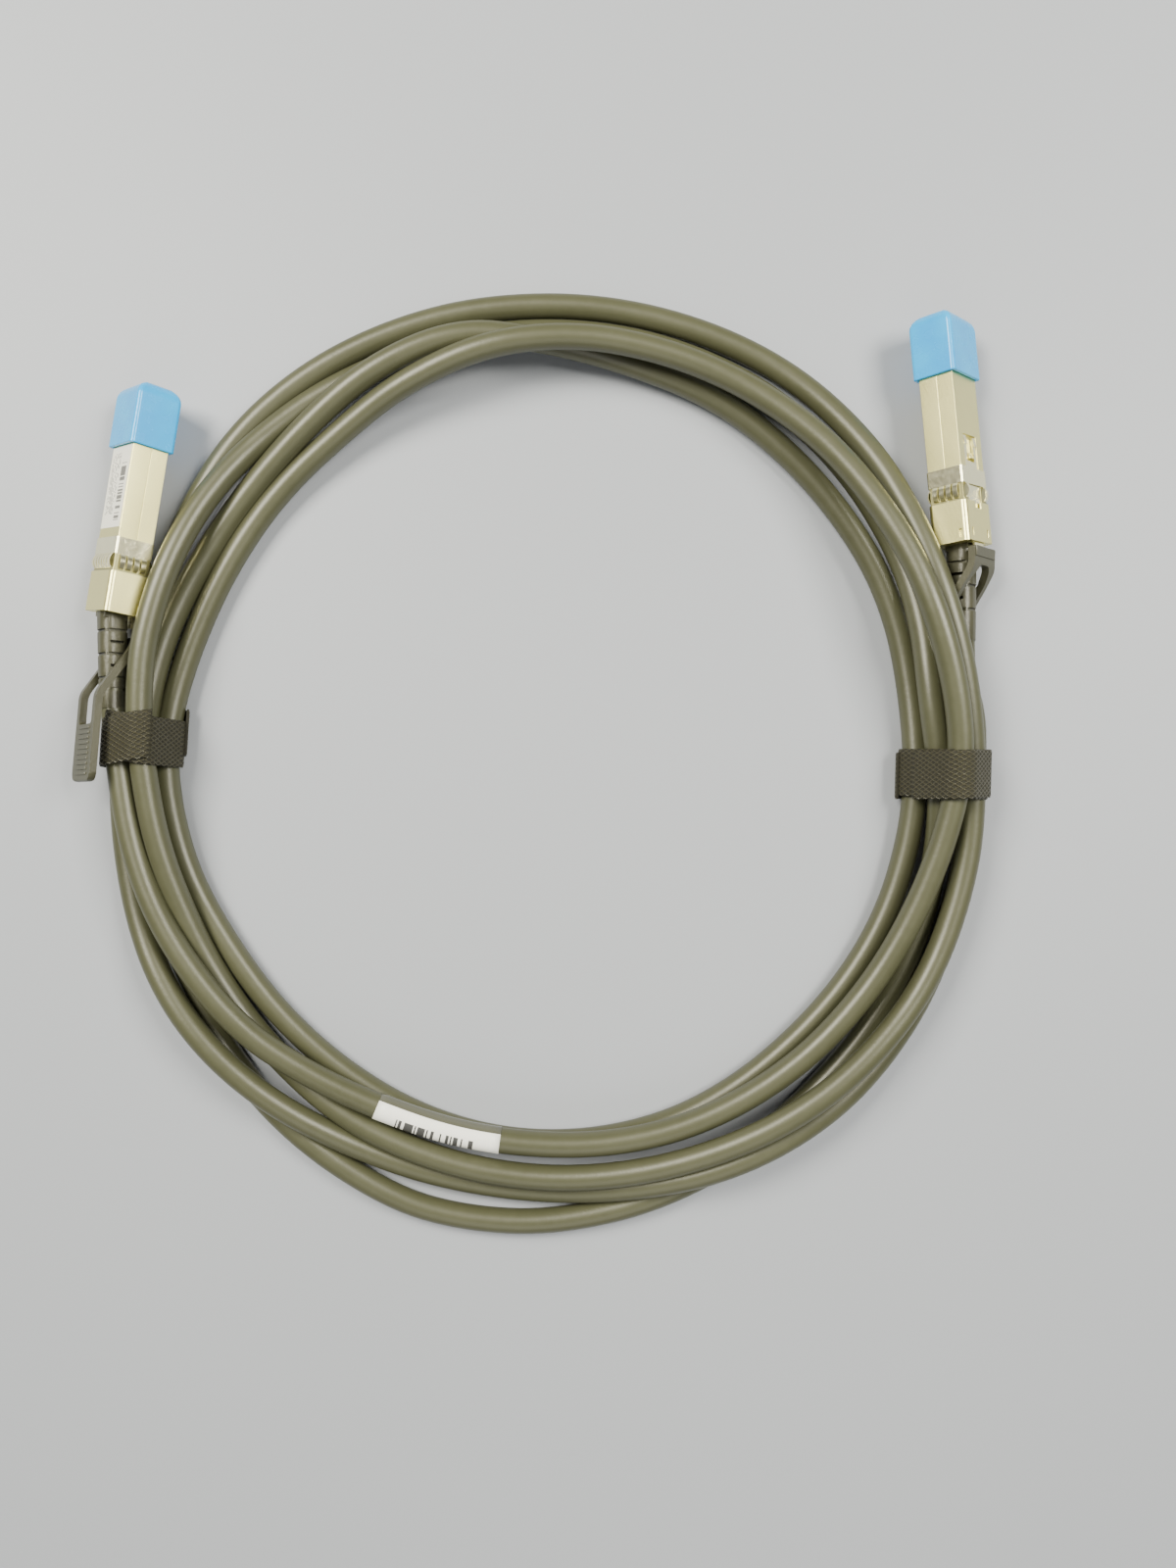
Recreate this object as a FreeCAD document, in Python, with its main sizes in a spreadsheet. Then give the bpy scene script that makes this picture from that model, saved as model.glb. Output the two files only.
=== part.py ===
import FreeCAD, Part
import math
import os
import Sketcher

# A direct attach copper cable: two small-form-factor plugs on three metres of twinax cable,
# wound into a loose ring and tied with two hook-and-loop straps.
#
# Row frame: +X right, +Y away, +Z up, z = 0 on the surface that the ring lies on.
# Plug frame: X across the plug, Y out of its nose, Z towards the label face. Y = 0 is the
# front face of the back shell, where the switch's front panel comes.
# Tail frame, for the boot and the pull tab: as the plug frame, but with Y = 0 on the back
# shell's rear face, turned a little because both are flexible and lean with the cable.

DOC = FreeCAD.newDocument("direct_attach_cable")
SHEET = DOC.addObject("Spreadsheet::Sheet", "sizes")


# ---------------------------------------------------------------- driving dimensions, mm and degrees

NOSE_WIDTH = 13.4
NOSE_HEIGHT = 8.5
NOSE_LENGTH = 45.0
SHELL_LENGTH = 9.8
CABLE_OUTER = 6.2
RING_RADIUS = 100.0
BOOT_LENGTH = 23.5
TAB_LENGTH = 42.0
TAB_WIDTH = 11.7
STRAP_WIDTH = 11.7
STRAP_THICK = 1.3
CAP_LENGTH = 15.5
RING_X = 2.72
RING_Y = -50.91


class Size:
    """A dimension that carries its number and the sheet expression that gives it."""

    def __init__(self, value, text):
        self.value = value
        self.text = text

    def joined(self, other, sign, value):
        other = sized(other)
        return Size(value, "(%s %s %s)" % (self.text, sign, other.text))

    def __add__(self, other):
        return self.joined(other, "+", self.value + sized(other).value)

    def __sub__(self, other):
        return self.joined(other, "-", self.value - sized(other).value)

    def __mul__(self, other):
        return self.joined(other, "*", self.value * sized(other).value)

    def __truediv__(self, other):
        return self.joined(other, "/", self.value / sized(other).value)

    def __radd__(self, other):
        return sized(other) + self

    def __rsub__(self, other):
        return sized(other) - self

    def __rmul__(self, other):
        return sized(other) * self

    def __neg__(self):
        return sized(0.0) - self


def sized(number):
    return number if isinstance(number, Size) else Size(float(number), repr(float(number)))


class Sizes:
    """The spreadsheet's rows: an alias, its number and a note."""

    def __init__(self):
        self.row = 0

    def add(self, note, **values):
        for alias, number in values.items():
            self.row += 1
            SHEET.set("A%d" % self.row, alias)
            SHEET.set("B%d" % self.row, str(number))
            SHEET.set("C%d" % self.row, note)
            SHEET.setAlias("B%d" % self.row, alias)
            setattr(self, alias, Size(float(number), "sizes." + alias))


S = Sizes()
S.add("nose, the part that enters the cage", nose_width=NOSE_WIDTH, nose_height=NOSE_HEIGHT,
      nose_length=NOSE_LENGTH)
S.add("housing halves", side_wall=0.9, roof_wall=0.8, seam_rise=3.95, edge_round=0.5)
S.add("mouth for the host's connector", mouth_width=11.2, mouth_depth=8.5, mouth_floor=0.6)
S.add("paddle card", card_width=9.2, card_thick=1.0, card_rise=2.25, card_setback=1.5, card_rear=0.4,
      card_clearance=0.12)
S.add("gold contacts on the card", contact_pitch=0.8, contact_width=0.5, contact_length=3.6,
      contact_thick=0.05)
S.add("wire chamber behind the card", chamber_floor=1.3, rear_wall=1.2)
S.add("latch channel and boss", channel_width=7.3, channel_depth=0.75, channel_front=16.5,
      boss_width=2.6, boss_rise=0.45, boss_length=2.0, boss_front=12.6, boss_gap=0.6)
S.add("sliding latch", slide_side_play=0.2, slide_thick=0.5, slide_play=0.1, latch_travel=2.4,
      prong_width=1.5, prong_length=6.2, ramp_length=2.2, ramp_rise=0.3, tang_width=5.0, tang_length=2.6)
S.add("return spring", spring_wire=0.24, spring_outer=1.3, spring_turns=6.0, spring_play=0.25,
      pocket_height=1.4, pocket_rear=0.8, pocket_front=8.7, lug_thick=0.5, lug_width=1.3)
S.add("spring collar that seals the cage", collar_thick=0.25, collar_front=8.3, band_length=4.1,
      finger_length=3.6, finger_width=1.2, finger_bow=0.75, finger_pitch=1.72, metal_gap=0.06)
S.add("stamped back shell", shell_length=SHELL_LENGTH, shell_wall=0.5, shell_corner=1.2,
      window_width=3.4, window_length=1.6, slot_width=0.7, slot_length=2.0)
S.add("cable and its termination", cable_outer=CABLE_OUTER, braid_outer=0.806 * CABLE_OUTER, ferrule_wall=0.35, ferrule_length=5.0,
      wire_outer=0.185 * CABLE_OUTER, cable_rise=0.35)
S.add("strain relief boot", boot_front=6.7, boot_middle=6.6, boot_tail=6.5, boot_length=BOOT_LENGTH,
      boot_ribbed=16.0, boot_round=2.7, groove_first=4.4, groove_pitch=2.9, groove_width=0.75,
      groove_depth=0.8, slot_depth=1.5, slot_height=3.4,
      neck_width=6.4, neck_height=5.6)
S.add("pull tab", tab_width=TAB_WIDTH, tab_thick=1.7, tab_length=TAB_LENGTH, tab_bulge=1.145 * TAB_WIDTH, tab_arm=1.8,
      tab_root=6.0, tab_offset=4.9, grip_length=14.0, grip_offset=3.7, slope_end=20.5, tab_step=2.4,
      tab_room=0.4, rib_pitch=1.25, rib_width=0.6, rib_rise=0.25, rib_length=6.6, rib_count=10)
S.add("dust cap", cap_gap=0.15, cap_wall=0.9, cap_end=1.2, cap_length=CAP_LENGTH, cap_end_gap=0.4, cap_round=1.2, cap_dome=2.6)
S.add("module label", label_width=12.4, label_length=20.2, label_thick=0.1)
S.add("hook-and-loop straps", strap_width=STRAP_WIDTH, strap_thick=STRAP_THICK, strap_gap=0.25)
S.add("cable label", wrap_start=242.5, wrap_end=263.5, wrap_thick=0.3)
S.add("left plug: rear centre, turn about its length and heading", left_x=-1.072 * RING_RADIUS, left_y=0.37 * RING_RADIUS,
      left_z=8.95, left_roll=-48.0, left_yaw=-9.4)
S.add("left tail: boot and tab headings", left_boot_yaw=1.0, left_boot_droop=-0.8, left_tab_yaw=-3.2,
      left_tab_droop=-4.5)
S.add("right plug: rear centre, turn about its length and heading", right_x=1.026 * RING_RADIUS, right_y=0.539 * RING_RADIUS,
      right_z=8.95, right_roll=-131.5, right_yaw=5.5)
S.add("right tail: boot and tab headings", right_boot_yaw=0.5, right_boot_droop=1.2, right_tab_yaw=-0.5,
      right_tab_droop=2.0)
S.add("ring centre in the row frame", ring_x=RING_X, ring_y=RING_Y)
DOC.recompute()

# The cable's turns, from the left plug round to the right plug. Each key is the angle walked so
# far, in degrees anticlockwise from +X, the strand's distance from the ring's centre and its
# height, for a ring of 100 mm and a cable of 6.2 mm. Heights tell which strand rides on which.
TURN_KEYS = [
    # out of the left boot, over the others along the front, then high over the right side
    (174, 104.7, 10.4), (178, 105.0, 10.9), (192, 103.4, 11.0), (205, 101.5, 12.2), (220, 99.1, 12.0),
    (232, 95.9, 10.4), (244, 93.8, 9.2), (257, 93.5, 9.1), (270, 93.7, 9.1),
    (281, 94.6, 9.2), (292, 95.5, 9.2), (304, 95.9, 9.0), (316, 96.2, 9.0),
    (330, 96.6, 9.8), (345, 97.4, 13.0), (359, 99.6, 16.1), (370, 99.0, 18.7),
    (381, 98.7, 20.6), (392, 100.2, 18.8), (405, 102.4, 14.8), (415, 103.4, 12.6),
    (425, 104.2, 11.2), (435, 104.3, 11.8), (446, 104.2, 13.0), (458, 102.6, 13.9),
    (470, 99.8, 10.6), (480, 97.6, 6.2), (495, 96.2, 3.4), (510, 94.6, 3.1),
    (525, 94.6, 3.4), (536, 95.4, 4.7),
    # the inner lane
    (545, 95.2, 4.3), (557, 94.4, 3.2), (570, 92.2, 3.1), (583, 92.1, 3.1),
    (596, 92.6, 3.1), (609, 93.9, 3.1), (622, 94.9, 3.1), (635, 95.2, 3.1),
    (648, 95.0, 3.1), (660, 93.8, 3.1), (672, 92.6, 3.1), (684, 92.5, 3.1),
    (696, 92.6, 3.3), (708, 92.1, 3.9), (718.5, 91.8, 4.7), (731, 92.3, 3.3),
    (743, 94.5, 3.1), (755, 96.2, 3.1), (770, 98.2, 3.1), (785, 101.2, 3.1),
    (800, 102.6, 4.4), (812, 105.0, 8.1), (822, 108.3, 9.9), (834, 106.2, 9.8),
    (846, 102.6, 7.4), (860, 100.9, 4.2), (873, 100.2, 4.6), (884, 100.4, 6.4),
    (896, 100.3, 7.6),
    # wide to the right under the others along the front, then back in
    (910, 101.6, 6.0), (925, 103.8, 3.3), (940, 108.1, 3.1), (955, 112.2, 3.1),
    (970, 115.4, 3.1), (980, 115.5, 3.1), (991, 114.7, 3.1), (1005, 112.2, 3.1),
    (1020, 108.3, 3.1), (1035, 104.9, 3.1), (1046, 103.0, 3.1), (1057, 101.4, 3.4),
    (1068, 98.5, 7.2), (1078, 96.3, 10.1), (1090, 94.4, 12.4), (1101, 98.2, 9.6),
    (1112, 102.4, 5.0), (1126, 105.8, 3.2), (1140, 108.0, 3.1), (1155, 108.9, 3.1),
    (1170, 109.0, 3.1), (1185, 109.0, 3.1), (1200, 108.8, 3.4), (1212, 108.0, 5.4),
    (1222, 106.3, 10.0), (1232, 103.6, 14.2), (1242, 101.6, 15.0), (1250, 99.8, 14.4),
    (1258, 98.3, 13.6),
    # on top at the left strap, down inside, and wide round the back
    (1270, 97.0, 12.0), (1280, 96.6, 9.6), (1292, 97.8, 5.8), (1305, 99.6, 3.6),
    (1320, 101.3, 6.0), (1335, 101.5, 7.8), (1348, 102.0, 8.6), (1360, 102.4, 10.0),
    (1372, 103.0, 12.2), (1384, 104.2, 14.2), (1396, 105.8, 13.2), (1410, 107.6, 9.8),
    (1425, 106.1, 9.6), (1437, 104.2, 10.8), (1450, 103.2, 13.9), (1462, 103.6, 15.8),
    (1473, 106.5, 13.0), (1484, 111.4, 7.4), (1497, 114.8, 3.5), (1510, 115.3, 3.1),
    (1524, 115.4, 3.1), (1538, 115.4, 3.1), (1550, 115.2, 3.1), (1562, 114.8, 3.1),
    (1574, 113.2, 3.1), (1586, 109.4, 3.1), (1598, 106.7, 3.1), (1608, 106.0, 3.7),
    (1617, 106.0, 4.7),
    # low on the outside, under the right strap and up into the right boot
    (1628, 107.2, 4.0), (1640, 108.8, 5.2), (1650, 109.2, 8.7), (1660, 108.6, 10.2),
    (1671, 107.4, 9.0), (1683, 106.7, 4.4), (1695, 106.5, 3.1), (1709, 106.7, 3.4),
    (1722, 107.2, 6.8), (1734, 108.5, 10.1), (1746, 109.7, 9.8), (1757, 110.4, 6.6),
    (1770, 109.9, 3.3), (1786, 107.4, 3.9), (1800, 105.8, 4.8), (1806.5, 105.6, 7.4),
]
RING_STEP = 10
SECTION_SIDES = 16
LEFT_STRAP_ANGLE = 176.4
RIGHT_STRAP_ANGLE = -1.5


# ---------------------------------------------------------------- document helpers

NODES = {}


def bind(thing, prop, amount):
    """Ties a property to the sheet, or sets it where the amount is a plain number."""
    amount = sized(amount)
    if "sizes." in amount.text:
        thing.setExpression(prop, amount.text)
    else:
        setattr(thing, prop, amount.value)


def put(feature, x=0.0, y=0.0, z=0.0):
    """Ties a feature's place to the sheet."""
    for axis, amount in (("x", x), ("y", y), ("z", z)):
        amount = sized(amount)
        feature.setExpression("Placement.Base." + axis, amount.text)
    return feature


def block(name, across, along, high, x=0.0, y=0.0, z=0.0):
    """A box centred across the plug, from y backwards and from z upwards."""
    box = DOC.addObject("Part::Box", name)
    bind(box, "Length", across)
    bind(box, "Width", along)
    bind(box, "Height", high)
    return put(box, sized(x) - sized(across) / 2, sized(y) - sized(along), z)


def rod(name, radius, length, y, x=0.0, z=0.0):
    """A cylinder along the plug, from y backwards."""
    cylinder = DOC.addObject("Part::Cylinder", name)
    bind(cylinder, "Radius", radius)
    bind(cylinder, "Height", length)
    cylinder.Placement.Rotation = FreeCAD.Rotation(FreeCAD.Vector(1, 0, 0), 90)
    return put(cylinder, x, y, z)


def cut(name, base, tools):
    """The base without the tools, which all have to reach into it."""
    tool = tools[0] if len(tools) == 1 else fuse(name + "_tools", tools)
    result = DOC.addObject("Part::Cut", name)
    result.Base = base
    result.Tool = tool
    return result


def fuse(name, pieces):
    result = DOC.addObject("Part::MultiFuse", name)
    result.Shapes = pieces
    result.Refine = True
    return result


def group(name, pieces):
    result = DOC.addObject("Part::Compound", name)
    result.Links = pieces
    return result


def fixed(name, shape):
    result = DOC.addObject("Part::Feature", name)
    result.Shape = shape
    return result


def node(label, feature, placement=None):
    """Names a finished piece and puts it in its place."""
    feature.Label = label
    if placement is not None:
        feature.Placement = placement
    NODES[label] = feature
    return feature


class Moulding:
    """A PartDesign body of rounded-rectangle sections that run along the plug."""

    def __init__(self, name):
        self.body = DOC.addObject("PartDesign::Body", name)
        self.count = 0

    def section(self, station, width, height, z=0.0, corner=0.0, x=0.0):
        """A rounded rectangle across the plug at one station, centred on x and z."""
        self.count += 1
        sketch = self.body.newObject("Sketcher::SketchObject", "%s_section_%d" % (self.body.Name, self.count))
        plane = [f for f in self.body.Origin.OriginFeatures if f.Role == "XZ_Plane"][0]
        sketch.AttachmentSupport = (plane, "")
        sketch.MapMode = "FlatFace"
        sketch.setExpression("AttachmentOffset.Base.z", (-sized(station)).text)
        width, height, x, z, corner = [sized(v) for v in (width, height, x, z, corner)]
        left, right = (x - width / 2), (x + width / 2)
        low, high = (z - height / 2), (z + height / 2)
        r = corner.value
        point = FreeCAD.Vector
        corners = [(right, low, -90), (right, high, 0), (left, high, 90), (left, low, 180)]
        ends = [(left, low), (right, low), (right, high), (left, high)]
        inset = [((r, 0), (-r, 0)), ((0, r), (0, -r)), ((-r, 0), (r, 0)), ((0, -r), (0, r))]
        for index in range(4):
            a, b = ends[index], ends[(index + 1) % 4]
            (ax, az), (bx, bz) = inset[index]
            sketch.addGeometry(Part.LineSegment(point(a[0].value + ax, a[1].value + az, 0),
                                                point(b[0].value + bx, b[1].value + bz, 0)), False)
        rules = [Sketcher.Constraint("Horizontal", 0), Sketcher.Constraint("Vertical", 1),
                 Sketcher.Constraint("Horizontal", 2), Sketcher.Constraint("Vertical", 3)]
        if r > 0:
            for index, (cx, cz, start) in enumerate(corners):
                inward_x = -r if cx is right else r
                inward_z = -r if cz is high else r
                centre = point(cx.value + inward_x, cz.value + inward_z, 0)
                circle = Part.Circle(centre, point(0, 0, 1), r)
                arc = Part.ArcOfCircle(circle, math.radians(start), math.radians(start + 90))
                sketch.addGeometry(arc, False)
                rules.append(Sketcher.Constraint("Tangent", index, 2, 4 + index, 1))
                rules.append(Sketcher.Constraint("Tangent", 4 + index, 2, (index + 1) % 4, 1))
            rules += [Sketcher.Constraint("Equal", 4, 5 + i) for i in range(3)]
        else:
            rules += [Sketcher.Constraint("Coincident", i, 2, (i + 1) % 4, 1) for i in range(4)]
        sketch.addConstraint(rules)
        # line 0 is the lower edge, 1 the right, 2 the upper and 3 the left
        places = [("DistanceX", 1, right), ("DistanceX", 3, left), ("DistanceY", 0, low), ("DistanceY", 2, high)]
        for kind, line, amount in places:
            which = sketch.addConstraint(Sketcher.Constraint(kind, -1, 1, line, 1, amount.value))
            sketch.setExpression("Constraints[%d]" % which, amount.text)
        if r > 0:
            which = sketch.addConstraint(Sketcher.Constraint("Radius", 4, r))
            sketch.setExpression("Constraints[%d]" % which, corner.text)
        return sketch

    def pad(self, station, length, *shape, **more):
        feature = self.body.newObject("PartDesign::Pad", "%s_pad_%d" % (self.body.Name, self.count + 1))
        feature.Profile = self.section(station, *shape, **more)
        bind(feature, "Length", length)
        return self

    def pocket(self, station, length, *shape, **more):
        sketch = self.section(station, *shape, **more)
        feature = self.body.newObject("PartDesign::Pocket", "%s_pocket_%d" % (self.body.Name, self.count))
        feature.Profile = sketch
        feature.Reversed = True
        bind(feature, "Length", length)
        return self

    def loft(self, sections):
        sketches = [self.section(*shape, **more) for shape, more in sections]
        feature = self.body.newObject("PartDesign::AdditiveLoft", self.body.Name + "_loft")
        feature.Profile = sketches[0]
        feature.Sections = sketches[1:]
        return self

    def round_end(self, radius, axis_y):
        """Rounds the edges of the end face whose centre lies at axis_y."""
        DOC.recompute()
        base = self.body.Tip
        shape = base.Shape
        edges = set()
        for face in shape.Faces:
            if abs(face.CenterOfMass.y - axis_y) < 1e-6 and face.Surface.TypeId == "Part::GeomPlane":
                for edge in face.OuterWire.Edges:
                    for number, known in enumerate(shape.Edges):
                        if known.isSame(edge):
                            edges.add("Edge%d" % (number + 1))
        feature = self.body.newObject("PartDesign::Fillet", self.body.Name + "_end_round")
        feature.Base = (base, sorted(edges))
        bind(feature, "Radius", radius)
        return self


# ---------------------------------------------------------------- curves

def rounded_wire(points, radii):
    """A closed wire of straight runs with a tangent arc of the given radius at each point."""
    edges = []
    starts = []
    ends = []
    for index, corner in enumerate(points):
        before = points[index - 1] - corner
        after = points[(index + 1) % len(points)] - corner
        half = before.getAngle(after) / 2
        before.normalize()
        after.normalize()
        reach = radii[index] / math.tan(half) if radii[index] else 0.0
        start, end = corner + before * reach, corner + after * reach
        starts.append(start)
        ends.append(end)
        if radii[index]:
            inward = (before + after).normalize()
            middle = corner + inward * (radii[index] / math.sin(half) - radii[index])
            edges.append(Part.Arc(start, middle, end).toShape())
    for index in range(len(points)):
        start, end = ends[index], starts[(index + 1) % len(points)]
        if start.distanceToPoint(end) > 1e-6:
            edges.append(Part.LineSegment(start, end).toShape())
    return Part.Wire(Part.__sortEdges__(edges))


def rounded_path(points):
    """Straight runs joined by tangent arcs, each as large as its two runs allow."""
    edges = []
    last = points[0]
    radii = []
    for index in range(1, len(points) - 1):
        corner = points[index]
        before = points[index - 1] - corner
        after = points[index + 1] - corner
        shorter = min(before.Length, after.Length)
        turn = math.pi - before.getAngle(after)
        before.normalize()
        after.normalize()
        radius = 0.45 * shorter / math.tan(turn / 2)
        reach = 0.45 * shorter
        start, end = corner + before * reach, corner + after * reach
        inward = (before + after).normalize()
        middle = corner + inward * (radius / math.cos(turn / 2) - radius)
        edges.append(Part.LineSegment(last, start).toShape())
        edges.append(Part.Arc(start, middle, end).toShape())
        radii.append(radius)
        last = end
    edges.append(Part.LineSegment(last, points[-1]).toShape())
    return Part.Wire(edges), radii


def tube(points, radius):
    """A round solid along a rounded path."""
    path, radii = rounded_path(points)
    start = points[0]
    section = Part.Wire([Part.Circle(start, points[1] - start, radius).toShape()])
    solid = path.makePipeShell([section], True, False)
    return solid, path.Length, radii


# ---------------------------------------------------------------- one plug

def plug_frame(side, behind=0.0, heading=None, droop=0.0):
    """The plug's placement, or its tail's: from the back shell's rear face, with its own heading."""
    values = [getattr(S, "%s_%s" % (side, what)).value for what in ("x", "y", "z", "roll", "yaw")]
    x, y, z, roll, yaw = values
    turn_roll = FreeCAD.Rotation(FreeCAD.Vector(0, 1, 0), roll)
    turn_yaw = FreeCAD.Rotation(FreeCAD.Vector(0, 0, 1), yaw if heading is None else heading)
    turn_droop = FreeCAD.Rotation(FreeCAD.Vector(1, 0, 0), droop)
    rear = FreeCAD.Vector(x + S.ring_x.value, y + S.ring_y.value, z)
    turn = turn_yaw.multiply(turn_droop).multiply(turn_roll)
    origin = rear + turn.multVec(FreeCAD.Vector(0, behind, 0))
    return FreeCAD.Placement(origin, turn)


UNDERSIDE = -S.nose_height / 2
SEAM = UNDERSIDE + S.seam_rise
CHANNEL_FLOOR = UNDERSIDE + S.channel_depth
CARD_UNDERSIDE = UNDERSIDE + S.card_rise
REAR_FACE = -(S.shell_length - S.shell_wall - S.metal_gap)
CASE_LENGTH = S.nose_length - REAR_FACE
SLIDE_TOP = CHANNEL_FLOOR - S.slide_play
SLIDE_UNDERSIDE = SLIDE_TOP - S.slide_thick
CABLE_AXIS = S.cable_rise
SPRING_AXIS = CHANNEL_FLOOR + S.pocket_height - S.spring_outer / 2 - 0.05
SLIDE_LUG_TOP = SPRING_AXIS + S.spring_outer / 4


def shell_base(side):
    """The cast half on the latch side, with the card's bed, the latch channel and its boss."""
    tray = Moulding(side + "_tray")
    tray.pad(S.nose_length, CASE_LENGTH, S.nose_width, S.seam_rise, z=(UNDERSIDE + SEAM) / 2)
    bed = SEAM - CARD_UNDERSIDE
    bay_width = S.card_width + S.card_clearance * 2
    tray.pocket(S.nose_length, S.nose_length - S.card_rear + S.card_clearance, bay_width, bed,
                z=(SEAM + CARD_UNDERSIDE) / 2)
    mouth = S.seam_rise - S.mouth_floor
    tray.pocket(S.nose_length, S.mouth_depth, S.mouth_width, mouth, z=SEAM - mouth / 2)
    chamber_width = S.nose_width - S.side_wall * 2
    chamber = S.seam_rise - S.chamber_floor
    chamber_length = S.card_rear - S.card_clearance - REAR_FACE - S.rear_wall
    tray.pocket(S.card_rear - S.card_clearance, chamber_length, chamber_width, chamber, z=SEAM - chamber / 2)
    tray.pocket(S.channel_front, S.channel_front - REAR_FACE, S.channel_width, S.channel_depth,
                z=(UNDERSIDE + CHANNEL_FLOOR) / 2)
    pocket_width = S.spring_outer + S.spring_play * 2
    tray.pocket(S.pocket_front, S.pocket_front - S.pocket_rear, pocket_width, S.pocket_height,
                z=CHANNEL_FLOOR + S.pocket_height / 2)
    hole = rod(side + "_base_hole", S.braid_outer / 2 + S.metal_gap, S.rear_wall * 3, REAR_FACE + S.rear_wall * 2,
               z=CABLE_AXIS)
    boss = DOC.addObject("Part::Wedge", side + "_boss")
    bind(boss, "Ymax", S.boss_length)
    for prop in ("Xmin", "Zmin", "Ymin", "X2min"):
        setattr(boss, prop, 0.0)
    bind(boss, "Xmax", S.boss_width)
    bind(boss, "X2max", S.boss_width)
    bind(boss, "Zmax", S.channel_depth + S.boss_rise)
    bind(boss, "Z2min", S.channel_depth + S.boss_rise - 0.1)
    bind(boss, "Z2max", S.channel_depth + S.boss_rise)
    put(boss, -S.boss_width / 2, S.boss_front - S.boss_length, CHANNEL_FLOOR - S.channel_depth - S.boss_rise)
    body = cut(side + "_base_bored", tray.body, [hole])
    return node(side + "_shell_base", fuse(side + "_base", [body, boss]), plug_frame(side, S.shell_length.value))


def shell_cover(side):
    """The cast half on the label side, a shallow lid over the card."""
    lid = Moulding(side + "_lid")
    height = S.nose_height - S.seam_rise
    lid.pad(S.nose_length, CASE_LENGTH, S.nose_width, height, z=SEAM + height / 2)
    inside = height - S.roof_wall
    lid.pocket(S.nose_length, CASE_LENGTH - S.rear_wall, S.nose_width - S.side_wall * 2, inside,
               z=SEAM + inside / 2)
    hole = rod(side + "_cover_hole", S.braid_outer / 2 + S.metal_gap, S.rear_wall * 3, REAR_FACE + S.rear_wall * 2,
               z=CABLE_AXIS)
    return node(side + "_shell_cover", cut(side + "_cover", lid.body, [hole]),
                plug_frame(side, S.shell_length.value))


def paddle_card(side):
    length = S.nose_length - S.card_setback - S.card_rear
    card = block(side + "_card", S.card_width, length, S.card_thick, y=S.nose_length - S.card_setback,
                 z=CARD_UNDERSIDE)
    return node(side + "_paddle_card", group(side + "_card_seated", [card]),
                plug_frame(side, S.shell_length.value))


def card_contacts(side):
    """Ten gold contacts on each face of the card's front edge."""
    pads = []
    for index in range(10):
        x = S.contact_pitch * (index - 4.5)
        for name, z in (("top", CARD_UNDERSIDE + S.card_thick), ("under", CARD_UNDERSIDE - S.contact_thick)):
            pads.append(block("%s_%s_contact_%d" % (side, name, index), S.contact_width, S.contact_length,
                              S.contact_thick, x=x, y=S.nose_length - S.card_setback - 0.4, z=z))
    return node(side + "_card_contacts", group(side + "_contacts", pads), plug_frame(side, S.shell_length.value))


def ferrule(side):
    """The crimped ring that holds the cable's braid behind the rear wall."""
    front = REAR_FACE + S.rear_wall + S.metal_gap + S.ferrule_length
    outer = rod(side + "_ferrule_outer", S.braid_outer / 2 + S.ferrule_wall, S.ferrule_length, front,
                z=CABLE_AXIS)
    inner = rod(side + "_ferrule_inner", S.braid_outer / 2, S.ferrule_length * 2, front + S.ferrule_length / 2,
                z=CABLE_AXIS)
    return node(side + "_ferrule", cut(side + "_ferrule_ring", outer, [inner]),
                plug_frame(side, S.shell_length.value))


def twinax_wires(side):
    """Four insulated conductors from the ferrule's bore to the card's rear pads."""
    wires = []
    front = REAR_FACE + S.rear_wall + S.ferrule_length
    rest = CARD_UNDERSIDE + S.card_thick + S.wire_outer / 2 + 0.05
    for across, up in ((-1, 1), (-1, -1), (1, -1), (1, 1)):
        spread = 3.2 if up > 0 else 1.1
        height = CABLE_AXIS.value + 0.85 * up
        points = [FreeCAD.Vector(0.85 * across, front.value - 3.5, height),
                  FreeCAD.Vector(0.85 * across, front.value - 1.2, height),
                  FreeCAD.Vector(spread * across, 1.6, rest.value),
                  FreeCAD.Vector(spread * across, 6.0, rest.value)]
        wires.append(fixed("%s_wire_%d" % (side, len(wires)), tube(points, S.wire_outer.value / 2)[0]))
    return node(side + "_twinax_wires", group(side + "_wires", wires), plug_frame(side, S.shell_length.value))


def finger_strip(half_gap, count):
    """Bowed fingers along one face of the collar, in a frame where Z is that face's normal."""
    strips = []
    root = (S.collar_front - S.band_length).value
    length, bow, thick = S.finger_length.value, S.finger_bow.value, S.collar_thick.value
    point = FreeCAD.Vector
    for index in range(count):
        x = S.finger_pitch.value * (index - (count - 1) / 2) - S.finger_width.value / 2
        if abs(x + S.finger_width.value / 2) < half_gap:
            continue
        inner = Part.Arc(point(x, root, 0), point(x, root - length / 2, bow), point(x, root - length, 0)).toShape()
        outer = Part.Arc(point(x, root, thick), point(x, root - length / 2, bow + thick),
                         point(x, root - length, thick)).toShape()
        ends = [Part.makeLine(point(x, root, 0), point(x, root, thick)),
                Part.makeLine(point(x, root - length, 0), point(x, root - length, thick))]
        face = Part.Face(Part.Wire(Part.__sortEdges__([inner, outer] + ends)))
        strips.append(face.extrude(point(S.finger_width.value, 0, 0)))
    return strips


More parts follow.
